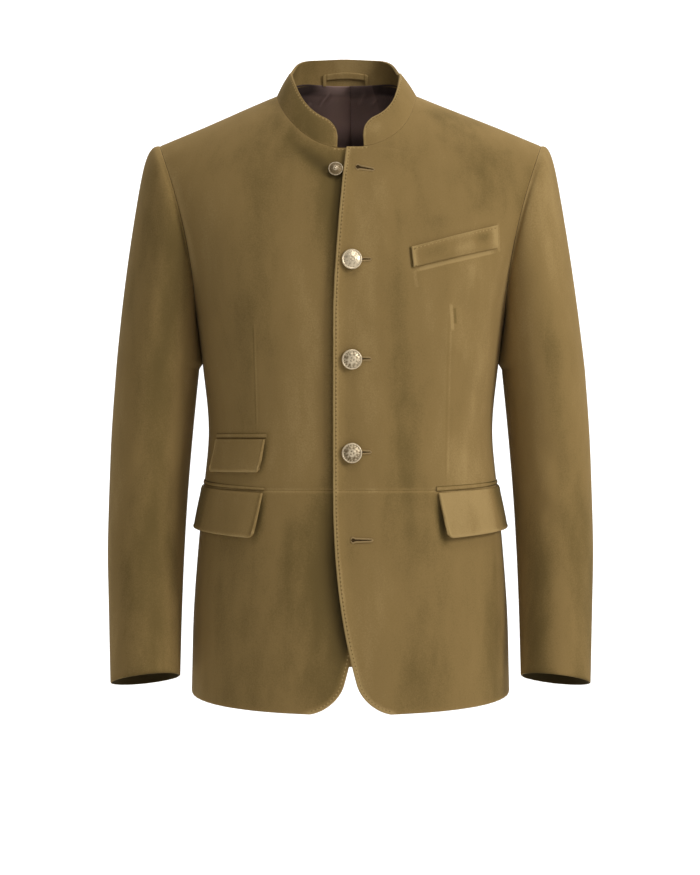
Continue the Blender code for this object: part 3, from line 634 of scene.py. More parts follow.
def edge_relief(distance, kind):
    """Height and wear of the cloth at a distance from a border of one kind.

    Joined borders are flat, eased, seam and pressed.  The others are free and roll over: a turned
    one is painted dark for the shade inside a cuff, a rolled one stands up and gets a painted
    highlight, and a stitched, sewn or narrow one has a groove.
    """
    if kind in SHALLOW:
        depth, wear = SHALLOW[kind]
        return -depth * SEAM_DIP * bell(distance, DIP_WIDTH), wear * bell(distance, 0.0016)
    if kind in ("seam", "pressed"):
        dip = 0.0003 * bell(distance, 0.0026, 0.0042) - SEAM_DIP * bell(distance, DIP_WIDTH)
        pale = 0.9 if kind == "pressed" else 0.2
        return dip, pale * bell(distance, 0.0011, 0.0014) - 0.45 * np.exp(-distance / 0.0009)
    short = 1 - np.clip(distance / 0.0013, 0, 1)
    roll = -FREE_ROLL * (1 - np.sqrt(np.maximum(1 - short**2, 0)))
    # a turned cuff edge gets painted shade, other free edges are rubbed paler
    wear = (-0.8 if kind == "turned" else 0.9) * np.exp(-distance / 0.0022)
    if kind == "rolled":
        roll = roll + 0.0005 * bell(distance, 0.0013, 0.0014)
        # painted highlight on a rolled edge
        wear = wear + 0.6 * bell(distance, 0.0014, 0.0008)
    if kind in ("stitched", "sewn"):
        inset = STITCH_INSET if kind == "stitched" else WELT_INSET
        roll = roll - 0.00020 * bell(distance, 0.0009, inset) + 0.00032 * bell(distance, 0.0013, inset / 2)
        wear = wear + (1.3 if kind == "stitched" else 0.3) * (1 - smooth(0.0024, 0.0085, distance))
    if kind == "narrow":
        roll = roll - 0.00025 * bell(distance, 0.0008, NARROW_INSET)
        wear = wear + 0.20 * (1 - smooth(0.0020, 0.0040, distance))
    return roll, wear


def fold(across, along, start, end, width, depth, bow=0.0):
    """A soft ridge (or trough, where depth is negative) from start to end, with faded ends."""
    start, end = np.array(start, float), np.array(end, float)
    length = np.linalg.norm(end - start)
    way = (end - start) / length
    a, b = across - start[0], along - start[1]
    t = (a * way[0] + b * way[1]) / length
    side = b * way[0] - a * way[1] - bow * 4 * t * (1 - t)
    fade = np.sin(np.pi * np.clip(t, 0, 1)) ** 0.8
    return depth * fade * bell(side, width)


print("edges roll", FREE_ROLL * 1000, "mm and seams dip", SEAM_DIP * 1000, "mm")

# %% [markdown]
# ## Meshes and flat cuts
# Every piece becomes a mesh with its finishes, the wear and the painted light and shade of its
# points and smooth shading, apart from sharp corners, and rides on the one body of the part.  A
# piece of cloth also states the flat piece that it is cut from, measured along its grid.

# %% Meshes and flat cuts
NARROWEST_CUT, SHARP_ANGLE = 0.010, math.radians(55)


def add_mesh(name, points, faces, materials, places=None, wear_and_shade=None):
    mesh = bpy.data.meshes.new(name)
    mesh.from_pydata(points.tolist(), [], [list(face) for face in faces])
    for made in materials:
        mesh.materials.append(made)
    if places is not None:
        mesh.polygons.foreach_set("material_index", places.astype(np.int32))
    if wear_and_shade is not None:
        mesh.attributes.new("wear_and_shade", "FLOAT", "POINT").data.foreach_set("value", wear_and_shade.astype(np.float32))
    mesh.shade_smooth()
    mesh.set_sharp_from_angle(angle=SHARP_ANGLE)
    mesh.update()
    piece = bpy.data.objects.new(name, mesh)
    bpy.context.scene.collection.objects.link(piece)
    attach(piece, "root")
    return piece


cuts = {}


def declare_cut(node, grid):
    """A jet shows about 6 mm of its strip; the rest of the stated width is its sewn-in edge.
    """
    width = np.linalg.norm(np.diff(grid, axis=1), axis=-1).sum(1).max()
    length = np.linalg.norm(np.diff(grid, axis=0), axis=-1).sum(0).max()
    first = np.cross(grid[:-1, 1:] - grid[:-1, :-1], grid[1:, :-1] - grid[:-1, :-1])
    second = np.cross(grid[1:, :-1] - grid[1:, 1:], grid[:-1, 1:] - grid[1:, 1:])
    area = (np.linalg.norm(first, axis=-1).sum() + np.linalg.norm(second, axis=-1).sum()) / 2
    width, area = max(width, NARROWEST_CUT), min(area, width * length)
    cuts[node] = [round(float(v), 4) for v in (width, length, area)]


print("cuts are at least", NARROWEST_CUT * 1000, "mm wide")

# %% [markdown]
# ## From a grid of points to a shell of cloth
# Solidify would thicken a grid, but the thin cells along a rolled edge would cross on the inside.
# So both faces are laid out in code: the outer one takes the creases and edge rolls, the inner one
# only the creases, and a rim joins them.  Inside, suede turns in along the edges, and the lining's
# colour begins behind it.  Each shell stands for one CAD solid.

# %% Shells of cloth
WALL, TURN_UP = 0.002, 0.035


def quads(rows, columns, flip=False):
    index = np.arange(rows * columns).reshape(rows, columns)
    faces = np.stack([index[:-1, :-1], index[:-1, 1:], index[1:, 1:], index[1:, :-1]], -1).reshape(-1, 4)
    return faces[:, ::-1] if flip else faces


def shell_faces(rows, columns, flip):
    """Faces of an outer grid, and of the whole shell with its inner grid and its rim."""
    index = np.arange(rows * columns).reshape(rows, columns)
    loop = np.concatenate([index[0, :-1], index[:-1, -1], index[-1, :0:-1], index[:0:-1, 0]])
    after, count = np.roll(loop, -1), rows * columns
    rim = np.stack([after, loop, loop + count, after + count], -1)
    outer = quads(rows, columns, flip)
    return outer, np.concatenate([outer, outer[:, ::-1] + count, rim[:, ::-1] if flip else rim])


def cloth(
    node, grid, core=None, wall=WALL, borders=(), relief=0.0, wear_and_shade=0.0, inside_light_and_shade=0.0,
    outside=None, inside=None,
):
    """A shell on a grid of outer points that stands for one CAD node, and its flat cut.

    The cloth faces away from core, which is the upright axis of the body if it isn't given.
    """
    shape = grid.shape[:2]
    core = grid * (0, 0, 1) if core is None else core
    out = unit(np.cross(np.gradient(grid, axis=1), np.gradient(grid, axis=0)))
    flip = np.sum(out * (grid - core)) <= 0
    out = -out if flip else out
    relief = np.broadcast_to(relief, shape)
    lift, wear = relief, np.broadcast_to(wear_and_shade, shape)
    to_free = np.full(shape, np.inf)
    for line, kind in borders:
        distance = distance_to(grid, line)
        height, rubbed = edge_relief(distance, kind)
        lift, wear = lift + height, wear + rubbed
        if kind not in ("seam", "eased"):
            to_free = np.minimum(to_free, distance)
    outer = grid + out * lift[..., None]
    inner = grid + out * (relief - wall)[..., None]
    top, faces = shell_faces(*shape, flip)
    places = np.zeros(len(faces))
    places[len(top) : 2 * len(top)] = to_free.reshape(-1)[top].min(1) > TURN_UP
    points = np.concatenate([outer.reshape(-1, 3), inner.reshape(-1, 3)])
    # the inner face keeps its own painted light and shade
    wear = np.concatenate([wear.reshape(-1), np.broadcast_to(inside_light_and_shade, shape).reshape(-1)])
    piece = add_mesh(f"{node}_cloth", points, faces, (outside or suede, inside or suede), places, wear)
    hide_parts(node)
    declare_cut(node, grid)
    return {"grid": grid + out * relief[..., None], "out": out}


print("walls are", WALL * 1000, "mm thick")

# %% [markdown]
# ## Creases, nap and painted light and shade of the fronts
# Each front is an upper and a lower panel, joined on the pocket line.  The dart that shapes the
# waist is a shallow stitched groove, and soft drags run from the armhole and below the breast
# pocket, as on a coat that is worn.  Noise would scatter such marks anywhere, so they are listed
# one by one where a tailor would expect them, and so are the strokes that brush the nap lighter or
# darker and the strokes of painted light and shade: shadows beside the flaps, the collar and the
# lapped front, and light beside the armholes.

# %% Creases, nap and painted light and shade of the fronts
# a dart is (upper end, lower end) seen from the front; its groove lies in a wider soft swelling, and
# both are (half width, height)
DARTS = {1: ((0.1165, -0.262), (0.1130, -0.466)), -1: ((-0.1120, -0.271), (-0.1090, -0.403))}
DART_GROOVE, DART_SWELL = (0.0012, -0.0006), (0.008, 0.0008)

# creases seen from the front: start, end, half width, depth, bow
CHEST_CREASES = {
    1: [
        ((0.168, -0.30), (0.115, -0.235), 0.010, -0.0012, 0.004),
        ((0.172, -0.33), (0.105, -0.290), 0.012, 0.0014, 0.005),
        ((0.168, -0.37), (0.120, -0.335), 0.010, -0.0010, 0.003),
        ((0.150, -0.20), (0.146, -0.300), 0.012, 0.0010, 0.003),
        ((0.080, -0.215), (0.084, -0.248), 0.005, 0.0009, 0.0),
        ((0.012, -0.225), (0.060, -0.300), 0.014, -0.0008, 0.004),
        ((0.020, -0.330), (0.075, -0.400), 0.015, -0.0009, -0.004),
    ],
    -1: [
        ((-0.168, -0.31), (-0.120, -0.245), 0.011, -0.0012, -0.004),
        ((-0.170, -0.345), (-0.110, -0.300), 0.012, 0.0012, -0.005),
        ((-0.160, -0.39), (-0.120, -0.350), 0.010, -0.0009, -0.003),
        ((-0.148, -0.19), (-0.150, -0.300), 0.012, 0.0010, -0.003),
        ((-0.030, -0.250), (-0.075, -0.330), 0.016, -0.0008, -0.004),
        ((-0.080, -0.052), (-0.006, -0.108), 0.009, -0.0014, -0.003),
    ],
}

# where the nap of the fronts is brushed lighter or darker, and where light and shade are painted on them,
# such as the shadows beside the flaps and below the collar: start, end, half width, wear, bow
FRONT_NAP_LIGHT_AND_SHADE = [
    ((0.051, -0.19), (0.060, -0.50), 0.020, -0.75, 0.004),
    ((0.082, -0.50), (0.090, -0.82), 0.024, -0.65, 0.004),
    ((0.020, -0.08), (0.026, -0.49), 0.016, 0.40, 0.0),
    ((0.026, -0.46), (0.036, -0.74), 0.020, 0.50, 0.0),
    ((0.143, -0.20), (0.155, -0.48), 0.020, 0.45, 0.004),
    ((0.160, -0.05), (0.150, -0.15), 0.030, -0.70, 0.0),
    ((0.171, -0.52), (0.171, -0.86), 0.016, -1.10, 0.0),
    ((0.062, -0.44), (0.066, -0.58), 0.022, -0.60, 0.0),
    ((0.118, -0.40), (0.140, -0.49), 0.018, 0.60, 0.0),
    ((0.010, -0.04), (0.012, -0.25), 0.016, 0.45, 0.0),
    ((0.070, -0.01), (0.170, -0.06), 0.018, -0.50, 0.0),
    ((-0.032, -0.02), (-0.026, -0.25), 0.020, -0.70, 0.0),
    ((-0.088, 0.02), (-0.088, -0.18), 0.016, -0.35, 0.0),
    ((-0.051, -0.15), (-0.050, -0.49), 0.026, 0.60, 0.002),
    ((-0.090, -0.020), (-0.040, -0.110), 0.018, -0.60, 0.0),
    # painted shadows beside the front edges of the right front's flaps
    ((-0.0945, -0.398), (-0.1060, -0.458), 0.004, -1.40, 0.0),
    ((-0.0985, -0.462), (-0.1135, -0.535), 0.005, -1.40, 0.0),
    ((0.075, -0.165), (0.165, -0.140), 0.010, -0.35, 0.0),
    ((0.146, -0.215), (0.146, -0.265), 0.010, -0.40, 0.0),
    ((0.070, -0.60), (0.070, -0.76), 0.020, -0.35, 0.0),
    ((-0.118, -0.16), (-0.118, -0.44), 0.030, -0.45, 0.0),
    ((-0.168, -0.10), (-0.165, -0.22), 0.020, 0.30, 0.0),
    # painted shadow below the collar
    ((-0.080, -0.052), (-0.002, -0.112), 0.011, -0.85, -0.003),
    # painted shadow beside the front edge of the left hip flap
    ((0.100, -0.470), (0.111, -0.538), 0.006, -1.90, 0.0),
    ((0.035, -0.10), (0.040, -0.20), 0.016, 0.30, 0.0),
]

# painted light beside the armhole of each front, which lifts the shade under the sleeve head, and painted
# shade high on the left one: middle height, half height, wear
ARMHOLE_LIGHT_AND_SHADE = {1: [(-0.125, 0.04, -0.8), (-0.265, 0.05, 3.2)], -1: [(-0.190, 0.09, 3.0)]}
ARMHOLE_LIGHT_WIDTH = 0.008


def light_and_shade_beside_armhole(grid, armhole, side):
    near = np.exp(-distance_to(grid, armhole) / ARMHOLE_LIGHT_WIDTH)
    return near * sum(wear * bell(grid[..., 2], half, middle) for middle, half, wear in ARMHOLE_LIGHT_AND_SHADE[side])


def nap_and_lap_shadow(x, z, side):
    """Nap strokes and painted light and shade of the fronts.  On the right one a shadow of the left one's
    lap is painted, wider low down and high on the chest.
    """
    wear = sum(fold(x, z, *stroke) for stroke in FRONT_NAP_LIGHT_AND_SHADE)
    if side > 0:
        return wear
    under = np.maximum(front_edge_x(z) - x, 0)
    low = 1 - smooth(-0.56, -0.43, z)
    near_neck = bell(z, 0.05, -0.125)
    wear = wear - 1.2 * (1 - 0.6 * low) * np.exp(-under / 0.006) - 0.6 * near_neck * np.exp(-under / 0.02)
    return wear - 1.7 * low * np.exp(-under / 0.06)


print(len(FRONT_NAP_LIGHT_AND_SHADE), "strokes of nap on the fronts")

# %% [markdown]
# ## Upper fronts
# The left front laps over the right one.  A chest panel is cut into rows up the body; above the pit
# of the neck the rows start at the neckline instead of the front edge.  They are closest at the
# pocket line and at the shoulder, where seams end them.

# %% Upper fronts
EDGE_CURL, EDGE_CURL_WIDTH, BARE_NECK_X = 0.0042, 0.0095, 0.0160
ROW_STEP, FINEST_ROW = 0.0046, 0.0006
NEAR_TOP = 1 - np.array([0.022, 0.015, 0.010, 0.0065, 0.004, 0.002, 0.0])
SIDE_WORDS = {1: "left", -1: "right"}


def curl(grid, edge, side):
    """The left front's edge curls a little off the right front, from the neck to the cutaway."""
    if side < 0:
        return 0.0
    z = grid[..., 2]
    fade = smooth(-0.70, -0.60, z) * (1 - smooth(-0.105, -0.085, z))
    return EDGE_CURL * fade * bell(distance_to(grid, edge), EDGE_CURL_WIDTH)


def rows_below():
    """Levels from the pocket line to the underarm, closer at the pocket line."""
    low = WAIST_SEAM_Z - UNDERARM_Z
    shares = fine_shares(int(-low / ROW_STEP), edge=FINEST_ROW / -low)
    return low - low * np.append(shares[: np.searchsorted(shares, 0.98)], 1.0)


def front_levels():
    """Levels of a chest panel's rows, and the number of rows up to the pit of the neck."""
    pit = float(neck_place(np.array([1e-4]))[1][0])
    to_pit = np.concatenate([rows_below(), np.linspace(0, pit, 44)[1:]])
    neck = neck_place(np.concatenate([np.linspace(0.06, 0.5, 14), np.linspace(0.53, 1.46, 44)]))[1]
    return np.concatenate([to_pit, neck[neck < 0.975], NEAR_TOP]), len(to_pit)


def chest(side):
    levels, to_pit = front_levels()
    start = edge_angle(lambda angle: body(angle, levels), len(levels))
    start = np.where(np.arange(len(levels)) < to_pit, start, neck_angle(levels, False))
    end = armhole_angle(levels, False)
    angle = start[:, None] + (end - start)[:, None] * fine_shares(62)
    grid = coat(angle, np.broadcast_to(levels[:, None], angle.shape), side)
    x, _, z = np.moveaxis(grid, -1, 0)
    relief = sum(fold(x, z, *crease) for crease in CHEST_CREASES[side])
    dart = DARTS[side]
    relief = relief + fold(x, z, *dart, *DART_GROOVE) + fold(x, z, *dart, *DART_SWELL)
    underarm = int(np.searchsorted(levels, 0.0))
    to_band = to_pit + int(np.searchsorted(np.abs(grid[to_pit:, 0, 0]), BARE_NECK_X))
    armhole = grid[underarm:, -1]
    borders = [
        (grid[:to_pit, 0], "stitched"),
        (grid[to_pit - 1 : to_band + 1, 0], "narrow"),
        (grid[to_band:, 0], "flat"),
        (grid[-1], "seam"),
        (grid[0], "pressed"),
        (armhole, "eased"),
        (grid[: underarm + 1, -1], "seam"),
    ]
    made = cloth(
        f"front_{SIDE_WORDS[side]}_chest", grid, borders=borders,
        relief=relief + curl(grid, grid[:to_pit, 0], side),
        wear_and_shade=nap_and_lap_shadow(x, z, side) + light_and_shade_beside_armhole(grid, armhole, side),
        outside=suede_front, inside=lining,
    )
    return {**made, "pit": to_pit, "band": to_band}


chests = {side: chest(side) for side in SIDE_WORDS}
print("chest grid", chests[1]["grid"].shape[:2], "cut", cuts["front_left_chest"])

# %% [markdown]
# ## Lower fronts
# Below the pocket line the front edge swings away from the middle and rounds a corner into the hem.
# Rows lie between the pocket line and the hem, which hangs lower in front, and are closest in the
# round corner, so that its outline stays smooth.

# %% Lower fronts
SKIRT_CREASES = {
    1: [
        ((0.060, -0.49), (0.075, -0.60), 0.020, 0.0012, 0.005),
        ((0.115, -0.56), (0.110, -0.70), 0.018, -0.0012, 0.004),
        ((0.020, -0.52), (0.050, -0.64), 0.022, -0.0012, 0.005),
    ],
    -1: [
        ((-0.060, -0.50), (-0.065, -0.62), 0.020, 0.0012, -0.005),
        ((-0.120, -0.56), (-0.115, -0.70), 0.018, -0.0012, -0.004),
    ],
}


def skirt_z(angle, share):
    return WAIST_SEAM_Z + (hem_height(angle) - WAIST_SEAM_Z) * share


def skirt(side):
    share = np.unique(np.concatenate([fine_shares(48), 1 - 0.24 * np.linspace(0, 1, 30) ** 1.6]))[::-1]
    start = edge_angle(lambda angle: body(angle, skirt_z(angle, share) - UNDERARM_Z), len(share))
    angle = start[:, None] + (math.pi / 2 - start)[:, None] * fine_shares(60)
    grid = coat(angle, skirt_z(angle, share[:, None]) - UNDERARM_Z, side)
    x, _, z = np.moveaxis(grid, -1, 0)
    relief = sum(fold(x, z, *crease) for crease in SKIRT_CREASES[side])
    borders = [(grid[:, 0], "stitched"), (grid[0], "free"), (grid[-1], "pressed"), (grid[:, -1], "seam")]
    return cloth(
        f"front_{SIDE_WORDS[side]}_skirt", grid, borders=borders,
        relief=relief + curl(grid, grid[:, 0], side), wear_and_shade=nap_and_lap_shadow(x, z, side),
        outside=suede_front, inside=lining,
    )


skirts = {side: skirt(side) for side in SIDE_WORDS}
print("skirt grid", skirts[1]["grid"].shape[:2], "cut", cuts["front_left_skirt"])

# %% [markdown]
# ## Backs
# The back isn't in view from the front, and is finished plainly: two panels with a centre seam.
# Soft creases run in towards the waist, where a fitted coat draws in under the shoulder blades.

# %% Backs
BACK_CREASES = [
    ((0.165, -0.30), (0.080, -0.36), 0.016, -0.0018, 0.006),
    ((0.160, -0.36), (0.070, -0.41), 0.018, 0.0016, 0.006),
    ((0.160, -0.42), (0.080, -0.45), 0.016, -0.0014, 0.004),
    ((0.120, -0.52), (0.100, -0.68), 0.024, 0.0016, 0.006),
    ((0.055, -0.54), (0.050, -0.69), 0.020, -0.0014, 0.004),
    ((0.150, -0.13), (0.150, -0.26), 0.016, 0.0014, 0.004),
]


def back(side):
    share = fine_shares(118)[::-1]
    pit = float(neck_place(np.array([1e-4]), True)[1][0])
    neck = neck_place(np.linspace(0.08, 1.46, 34), True)[1]
    up = np.concatenate([np.linspace(0, pit, 52)[1:], neck[neck < 0.975], NEAR_TOP])
    levels = np.concatenate([share * 0, up])
    shares = np.concatenate([share, up * 0])
    start = armhole_angle(levels, True)
    end = np.where(levels > 0, neck_angle(levels, True), math.pi)
    angle = start[:, None] + (end - start)[:, None] * fine_shares(50)
    drop = (hem_height(angle) - UNDERARM_Z) * shares[:, None]
    grid = coat(angle, levels[:, None] + drop, side)
    x, _, z = np.moveaxis(grid, -1, 0)
    relief = sum(fold(x * side, z, *crease) for crease in BACK_CREASES)
    underarm = len(share) - 1
    seams = [grid[-1], grid[: underarm + 1, 0], grid[underarm:, 0], grid[:, -1]]
    borders = [(grid[0], "free")] + [(line, "seam") for line in seams]
    cloth(f"back_{SIDE_WORDS[side]}", grid, borders=borders, relief=relief, inside=lining)


for side in SIDE_WORDS:
    back(side)
print("back cut", cuts["back_left"])

# %% [markdown]
# ## Creases, nap and painted light and shade of the sleeves
# An arm that hangs a little bent drags the cloth at the elbow and below the shoulder.  Places on a
# sleeve are given by the turn about the arm, 0 on its outer side, and the height.  Strokes of nap
# and of painted light and shade even out the light round each sleeve.

# %% Creases, nap and painted light and shade of the sleeves
ARM_RADIUS = 0.05

# creases on the sleeve: (turn about the arm, height) at both ends, half width, depth, bow
SLEEVE_CREASES = [
    ((1.9, -0.40), (0.9, -0.47), 0.016, -0.0022, 0.006),
    ((2.0, -0.45), (1.1, -0.50), 0.014, 0.0020, 0.005),
    ((1.9, -0.50), (0.8, -0.53), 0.015, -0.0018, 0.004),
    ((0.9, -0.16), (0.5, -0.30), 0.016, -0.0014, 0.004),
    ((-0.6, -0.14), (-0.8, -0.30), 0.018, 0.0016, 0.004),
    ((-1.3, -0.42), (-0.5, -0.50), 0.018, 0.0018, 0.005),
    ((0.5, -0.55), (0.7, -0.66), 0.016, -0.0012, 0.003),
]

# nap of each sleeve, with painted light and shade that evens out the light round the tube, placed in the
# same way: both ends, half width, wear
SLEEVE_NAP_AND_SHADE = {
    1: [
        ((1.1, 0.05), (1.2, -0.30), 0.050, 0.75),
        ((1.9, -0.20), (1.9, -0.54), 0.020, 0.75),
        ((1.4, -0.12), (1.4, -0.58), 0.016, -0.60),
        ((1.05, -0.42), (1.05, -0.75), 0.018, -0.40),
        ((1.5, -0.55), (1.5, -0.80), 0.018, 0.50),
        ((2.2, -0.47), (2.2, -0.86), 0.025, -1.0),
        ((0.5, -0.45), (0.5, -0.82), 0.030, -0.75),
    ],
    -1: [
        ((1.55, 0.35), (1.55, -1.05), 0.032, -0.80),
        ((1.20, 0.05), (1.20, -0.34), 0.040, -0.45),
        ((2.45, -0.45), (2.45, -0.85), 0.022, -0.70),
        ((2.50, -0.20), (2.50, -0.52), 0.020, 0.50),
        ((0.45, -0.25), (0.45, -0.70), 0.022, 0.65),
        ((1.90, -0.25), (1.90, -0.80), 0.014, -0.50),
        ((1.10, -0.18), (1.10, -0.56), 0.024, 0.50),
        ((1.65, -0.16), (1.65, -0.40), 0.014, -0.40),
        ((0.60, -0.58), (0.60, -0.82), 0.025, 0.50),
    ],
}


def sleeve_strokes(turn, z, strokes):
    """Sum of strokes on a sleeve, with turns changed to distances round the arm."""
    around, total = np.broadcast_to(turn, z.shape) * ARM_RADIUS, 0.0
    for (turn_a, z_a), (turn_b, z_b), *rest in strokes:
        total = total + fold(around, z, (turn_a * ARM_RADIUS, z_a), (turn_b * ARM_RADIUS, z_b), *rest)
    return total


print(len(SLEEVE_CREASES), "creases on each sleeve")

# %% [markdown]
# ## Points of a sleeve
# The head of a sleeve is a little fuller than the armhole, so it rolls over the shoulder seam, and
# the tube bends forward at the elbow.  A bent cylinder would show no head, so points run down from
# the armhole itself: first the head, then rings that tilt towards the cuff.

# %% Points of a sleeve
SLEEVE_GAP, SLEEVE_LEAD = 0.0003, 0.003
SLEEVE_HEAD_FULL, SLEEVE_HEAD_SHARP, SLEEVE_CLEAR = {1: 0.0092, -1: 0.0125}, 20.0, 0.0003
SLEEVE_CAP_TO_Z, CUFF_Z, CUFF_TILT_OUT, CUFF_TILT_BACK = -0.328, -0.695, -0.118, -0.21
SLEEVE_LEVEL_POWER = 0.58


def armhole_points(turn):
    level = (1 - np.abs(turn) / math.pi) ** (1 / SLEEVE_LEVEL_POWER)
    angle = np.where(turn >= 0, armhole_angle(level, False), armhole_angle(level, True))
    return body(angle, level)


def tube(turn, z):
    centre_x, centre_y, half_width, half_depth = sleeve_at(z)
    out, forward = half_width * np.cos(turn), -half_depth * np.sin(turn)
    tilt = (np.maximum(SLEEVE_CAP_TO_Z - z, 0) / (SLEEVE_CAP_TO_Z - CUFF_Z)) ** 1.3
    lift = tilt * (CUFF_TILT_OUT * out + CUFF_TILT_BACK * forward)
    return np.stack([centre_x + out, centre_y + forward, z + lift], -1)


def lean_in(turn, share):
    """How far the sleeve leans in below the armhole, to lie against the body."""
    start = UNDERARM_X + SLEEVE_GAP + 0.2 * SLEEVE_LEAD
    inner = tube(np.array(math.pi), np.array(SLEEVE_CAP_TO_Z))[0]
    body_half = torso_at(UNDERARM_Z + (SLEEVE_CAP_TO_Z - UNDERARM_Z) * share)[0]
    ease = smooth(0.0, 0.3, share) * (1 - smooth(0.84, 1.0, share))
    lean = np.maximum(start + (inner - start) * share - body_half - SLEEVE_CLEAR, 0) * ease
    return lean * np.maximum(-np.cos(turn), 0) ** 2


def sleeve_grid(turn, side):
    """Rows from the armhole to the cuff, columns round the arm."""
    edge = armhole_points(turn)[None] + np.array((SLEEVE_GAP, 0, 0))
    reach = SLEEVE_LEAD * (0.2 + 0.8 * smooth(0, 1, 1.6 * np.cos(turn / 2) ** 2))
    lead = edge + np.linspace(0, 1, 7)[:, None, None] * np.array((1, 0, 0)) * reach[:, None]
    share = np.concatenate([[0.004, 0.010, 0.018], np.linspace(0.03, 1, 56) ** 1.25])[:, None]
    ring = tube(turn, np.full_like(turn, SLEEVE_CAP_TO_Z))
    full = np.sqrt(1 - (1 - share) ** SLEEVE_HEAD_SHARP) * (1 - share**2.2)
    full = full * SLEEVE_HEAD_FULL[side] * np.cos(turn / 2) ** 2
    away = np.stack([np.cos(turn), -np.sin(turn), turn * 0], -1)
    head = lead[-1] + (ring - lead[-1]) * share[..., None] + away * full[..., None]
    head[..., 0] -= lean_in(turn, share)
    heights = SLEEVE_CAP_TO_Z + (CUFF_Z - SLEEVE_CAP_TO_Z) * fine_shares(84, edge=0.0012)[9:]
    below = tube(turn[None], np.broadcast_to(heights[:, None], (len(heights), len(turn))))
    return np.concatenate([lead, head, below]) * (side, 1, 1)


print("cuff", round(2 * float(sleeve_at(np.array(CUFF_Z))[2]), 3), "m wide")

# %% [markdown]
# ## Sleeves
# A tailored sleeve is two panels, a wide top sleeve and a narrow under sleeve, because cloth cut
# from one panel couldn't bend at the elbow without a fold.  Each panel's columns run between the
# front seam and the elbow seam, over the outer side of the arm or the inner.

# %% Sleeves
# the sleeves' insides get painted shade, dark where the cuffs open
FRONT_SEAM_LEVEL, ELBOW_SEAM_LEVEL, SLEEVE_SHADE = 0.012, 0.16, -2.2


def seam_turn(level):
    return math.pi * (1 - level**SLEEVE_LEVEL_POWER)


def sleeve(side, part):
    front, elbow = seam_turn(FRONT_SEAM_LEVEL), seam_turn(ELBOW_SEAM_LEVEL)
    if part == "top":
        turn = front + (-elbow - front) * fine_shares(56)
    else:
        turn = -elbow + (front - 2 * math.pi + elbow) * fine_shares(26)
        turn = np.where(turn < -math.pi, turn + 2 * math.pi, turn)
    grid = sleeve_grid(turn, side)
    z = grid[..., 2]
    relief = sleeve_strokes(turn, z, SLEEVE_CREASES)
    wear_and_shade = sleeve_strokes(turn, z, SLEEVE_NAP_AND_SHADE[side])
    borders = [(grid[0], "eased"), (grid[-1], "turned"), (grid[:, 0], "seam"), (grid[:, -1], "seam")]
    centre_x, centre_y, _, _ = sleeve_at(np.minimum(z, SLEEVE_CAP_TO_Z))
    core = np.stack([side * centre_x, centre_y, z], -1)
    cloth(
        f"sleeve_{SIDE_WORDS[side]}_{part}", grid, core, borders=borders, relief=relief,
        wear_and_shade=wear_and_shade, inside_light_and_shade=SLEEVE_SHADE, inside=lining,
    )


for side in SIDE_WORDS:
    for part in ("top", "under"):
        sleeve(side, part)
print("top sleeve cut", cuts["sleeve_left_top"], "under sleeve cut", cuts["sleeve_left_under"])

# %% [markdown]
# ## Collar
# The collar is a band that stands on the neckline and leans in a little.  Its front ends are
# rounded and don't meet.  It is stiffer and thicker than the body, with suede on both sides and a
# row of stitches near its upper edge.

# %% Collar
COLLAR_WALL, COLLAR_END_X = 0.003, 0.0155
COLLAR_RISE = {"front": 0.033, "side": 0.0280, "back": 0.0350}
COLLAR_LEAN = {"front": 0.016, "side": 0.0175, "back": 0.007}
COLLAR_SWAY, COLLAR_BOW, COLLAR_CORNER, COLLAR_END_SHARE = -0.0026, 0.001, 0.018, 0.45
COLLAR_CORNER_DIP = 0.0036
SEAM_GAP = 0.0003


def neck_out(points):
    """Directions away from the neck, seen from above."""
    x, y, _ = np.moveaxis(points, -1, 0)
    depth = np.where(y < 0, NECK_FRONT, NECK_BACK)
    across = np.sign(x) * np.abs(x / NECK_HALF_WIDTH) ** (NECK_SQUARE - 1) / NECK_HALF_WIDTH
    along = np.sign(y) * np.abs(y / depth) ** (NECK_SQUARE - 1) / depth
    return unit(np.stack([across, along, x * 0], -1))


def neckline(side):
    """Neckline points of one side, from the band's front end over the shoulder to centre back."""
    first = float(neck_turn(COLLAR_END_X))
    ends = first + (0.60 - first) * np.linspace(0, 1, 30) ** 1.4
    front = neck_place(np.concatenate([ends, np.linspace(0.62, 1.545, 62)]))
    rear = neck_place(np.concatenate([np.linspace(1.545, 0.30, 50), np.linspace(0.28, 0.004, 16)]), True)
    return np.concatenate([over_body(angle, level, side) for angle, level in (front, rear)])


def band_slope(out, front):
    """Rise and inward lean of the band where it faces a direction seen from above."""
    near_side = out[..., 0] ** 2
    rise = np.where(front, COLLAR_RISE["front"], COLLAR_RISE["back"])
    lean = np.where(front, COLLAR_LEAN["front"], COLLAR_LEAN["back"])
    turned = np.abs(out[..., 0])
    rise = rise + (COLLAR_RISE["side"] - rise) * near_side
    rise = rise - np.where(front, 0, COLLAR_CORNER_DIP * 4 * turned * (1 - turned))
    return rise, lean + (COLLAR_LEAN["side"] - lean) * near_side


def band(base):
    """Columns of points up the band from one side's neckline."""
    along = np.clip(lengths_along(base) / COLLAR_CORNER, 0, 1)
    reach = COLLAR_END_SHARE + (1 - COLLAR_END_SHARE) * np.sqrt(1 - (1 - along) ** 2)
    out = neck_out(base)
    rise, lean = band_slope(out, base[:, 1] < 0)
    height = reach[:, None] * fine_shares(16, edge=0.012, growth=1.25)
    bow = COLLAR_BOW * np.sin(np.pi * height)
    sway = COLLAR_SWAY * height * smooth(-0.06, 0.02, base[:, 1])[:, None]
    up = np.stack([sway, sway * 0, rise[:, None] * height + SEAM_GAP], -1)
    return base[:, None] + up + out[:, None] * (bow - lean[:, None] * height)[..., None]


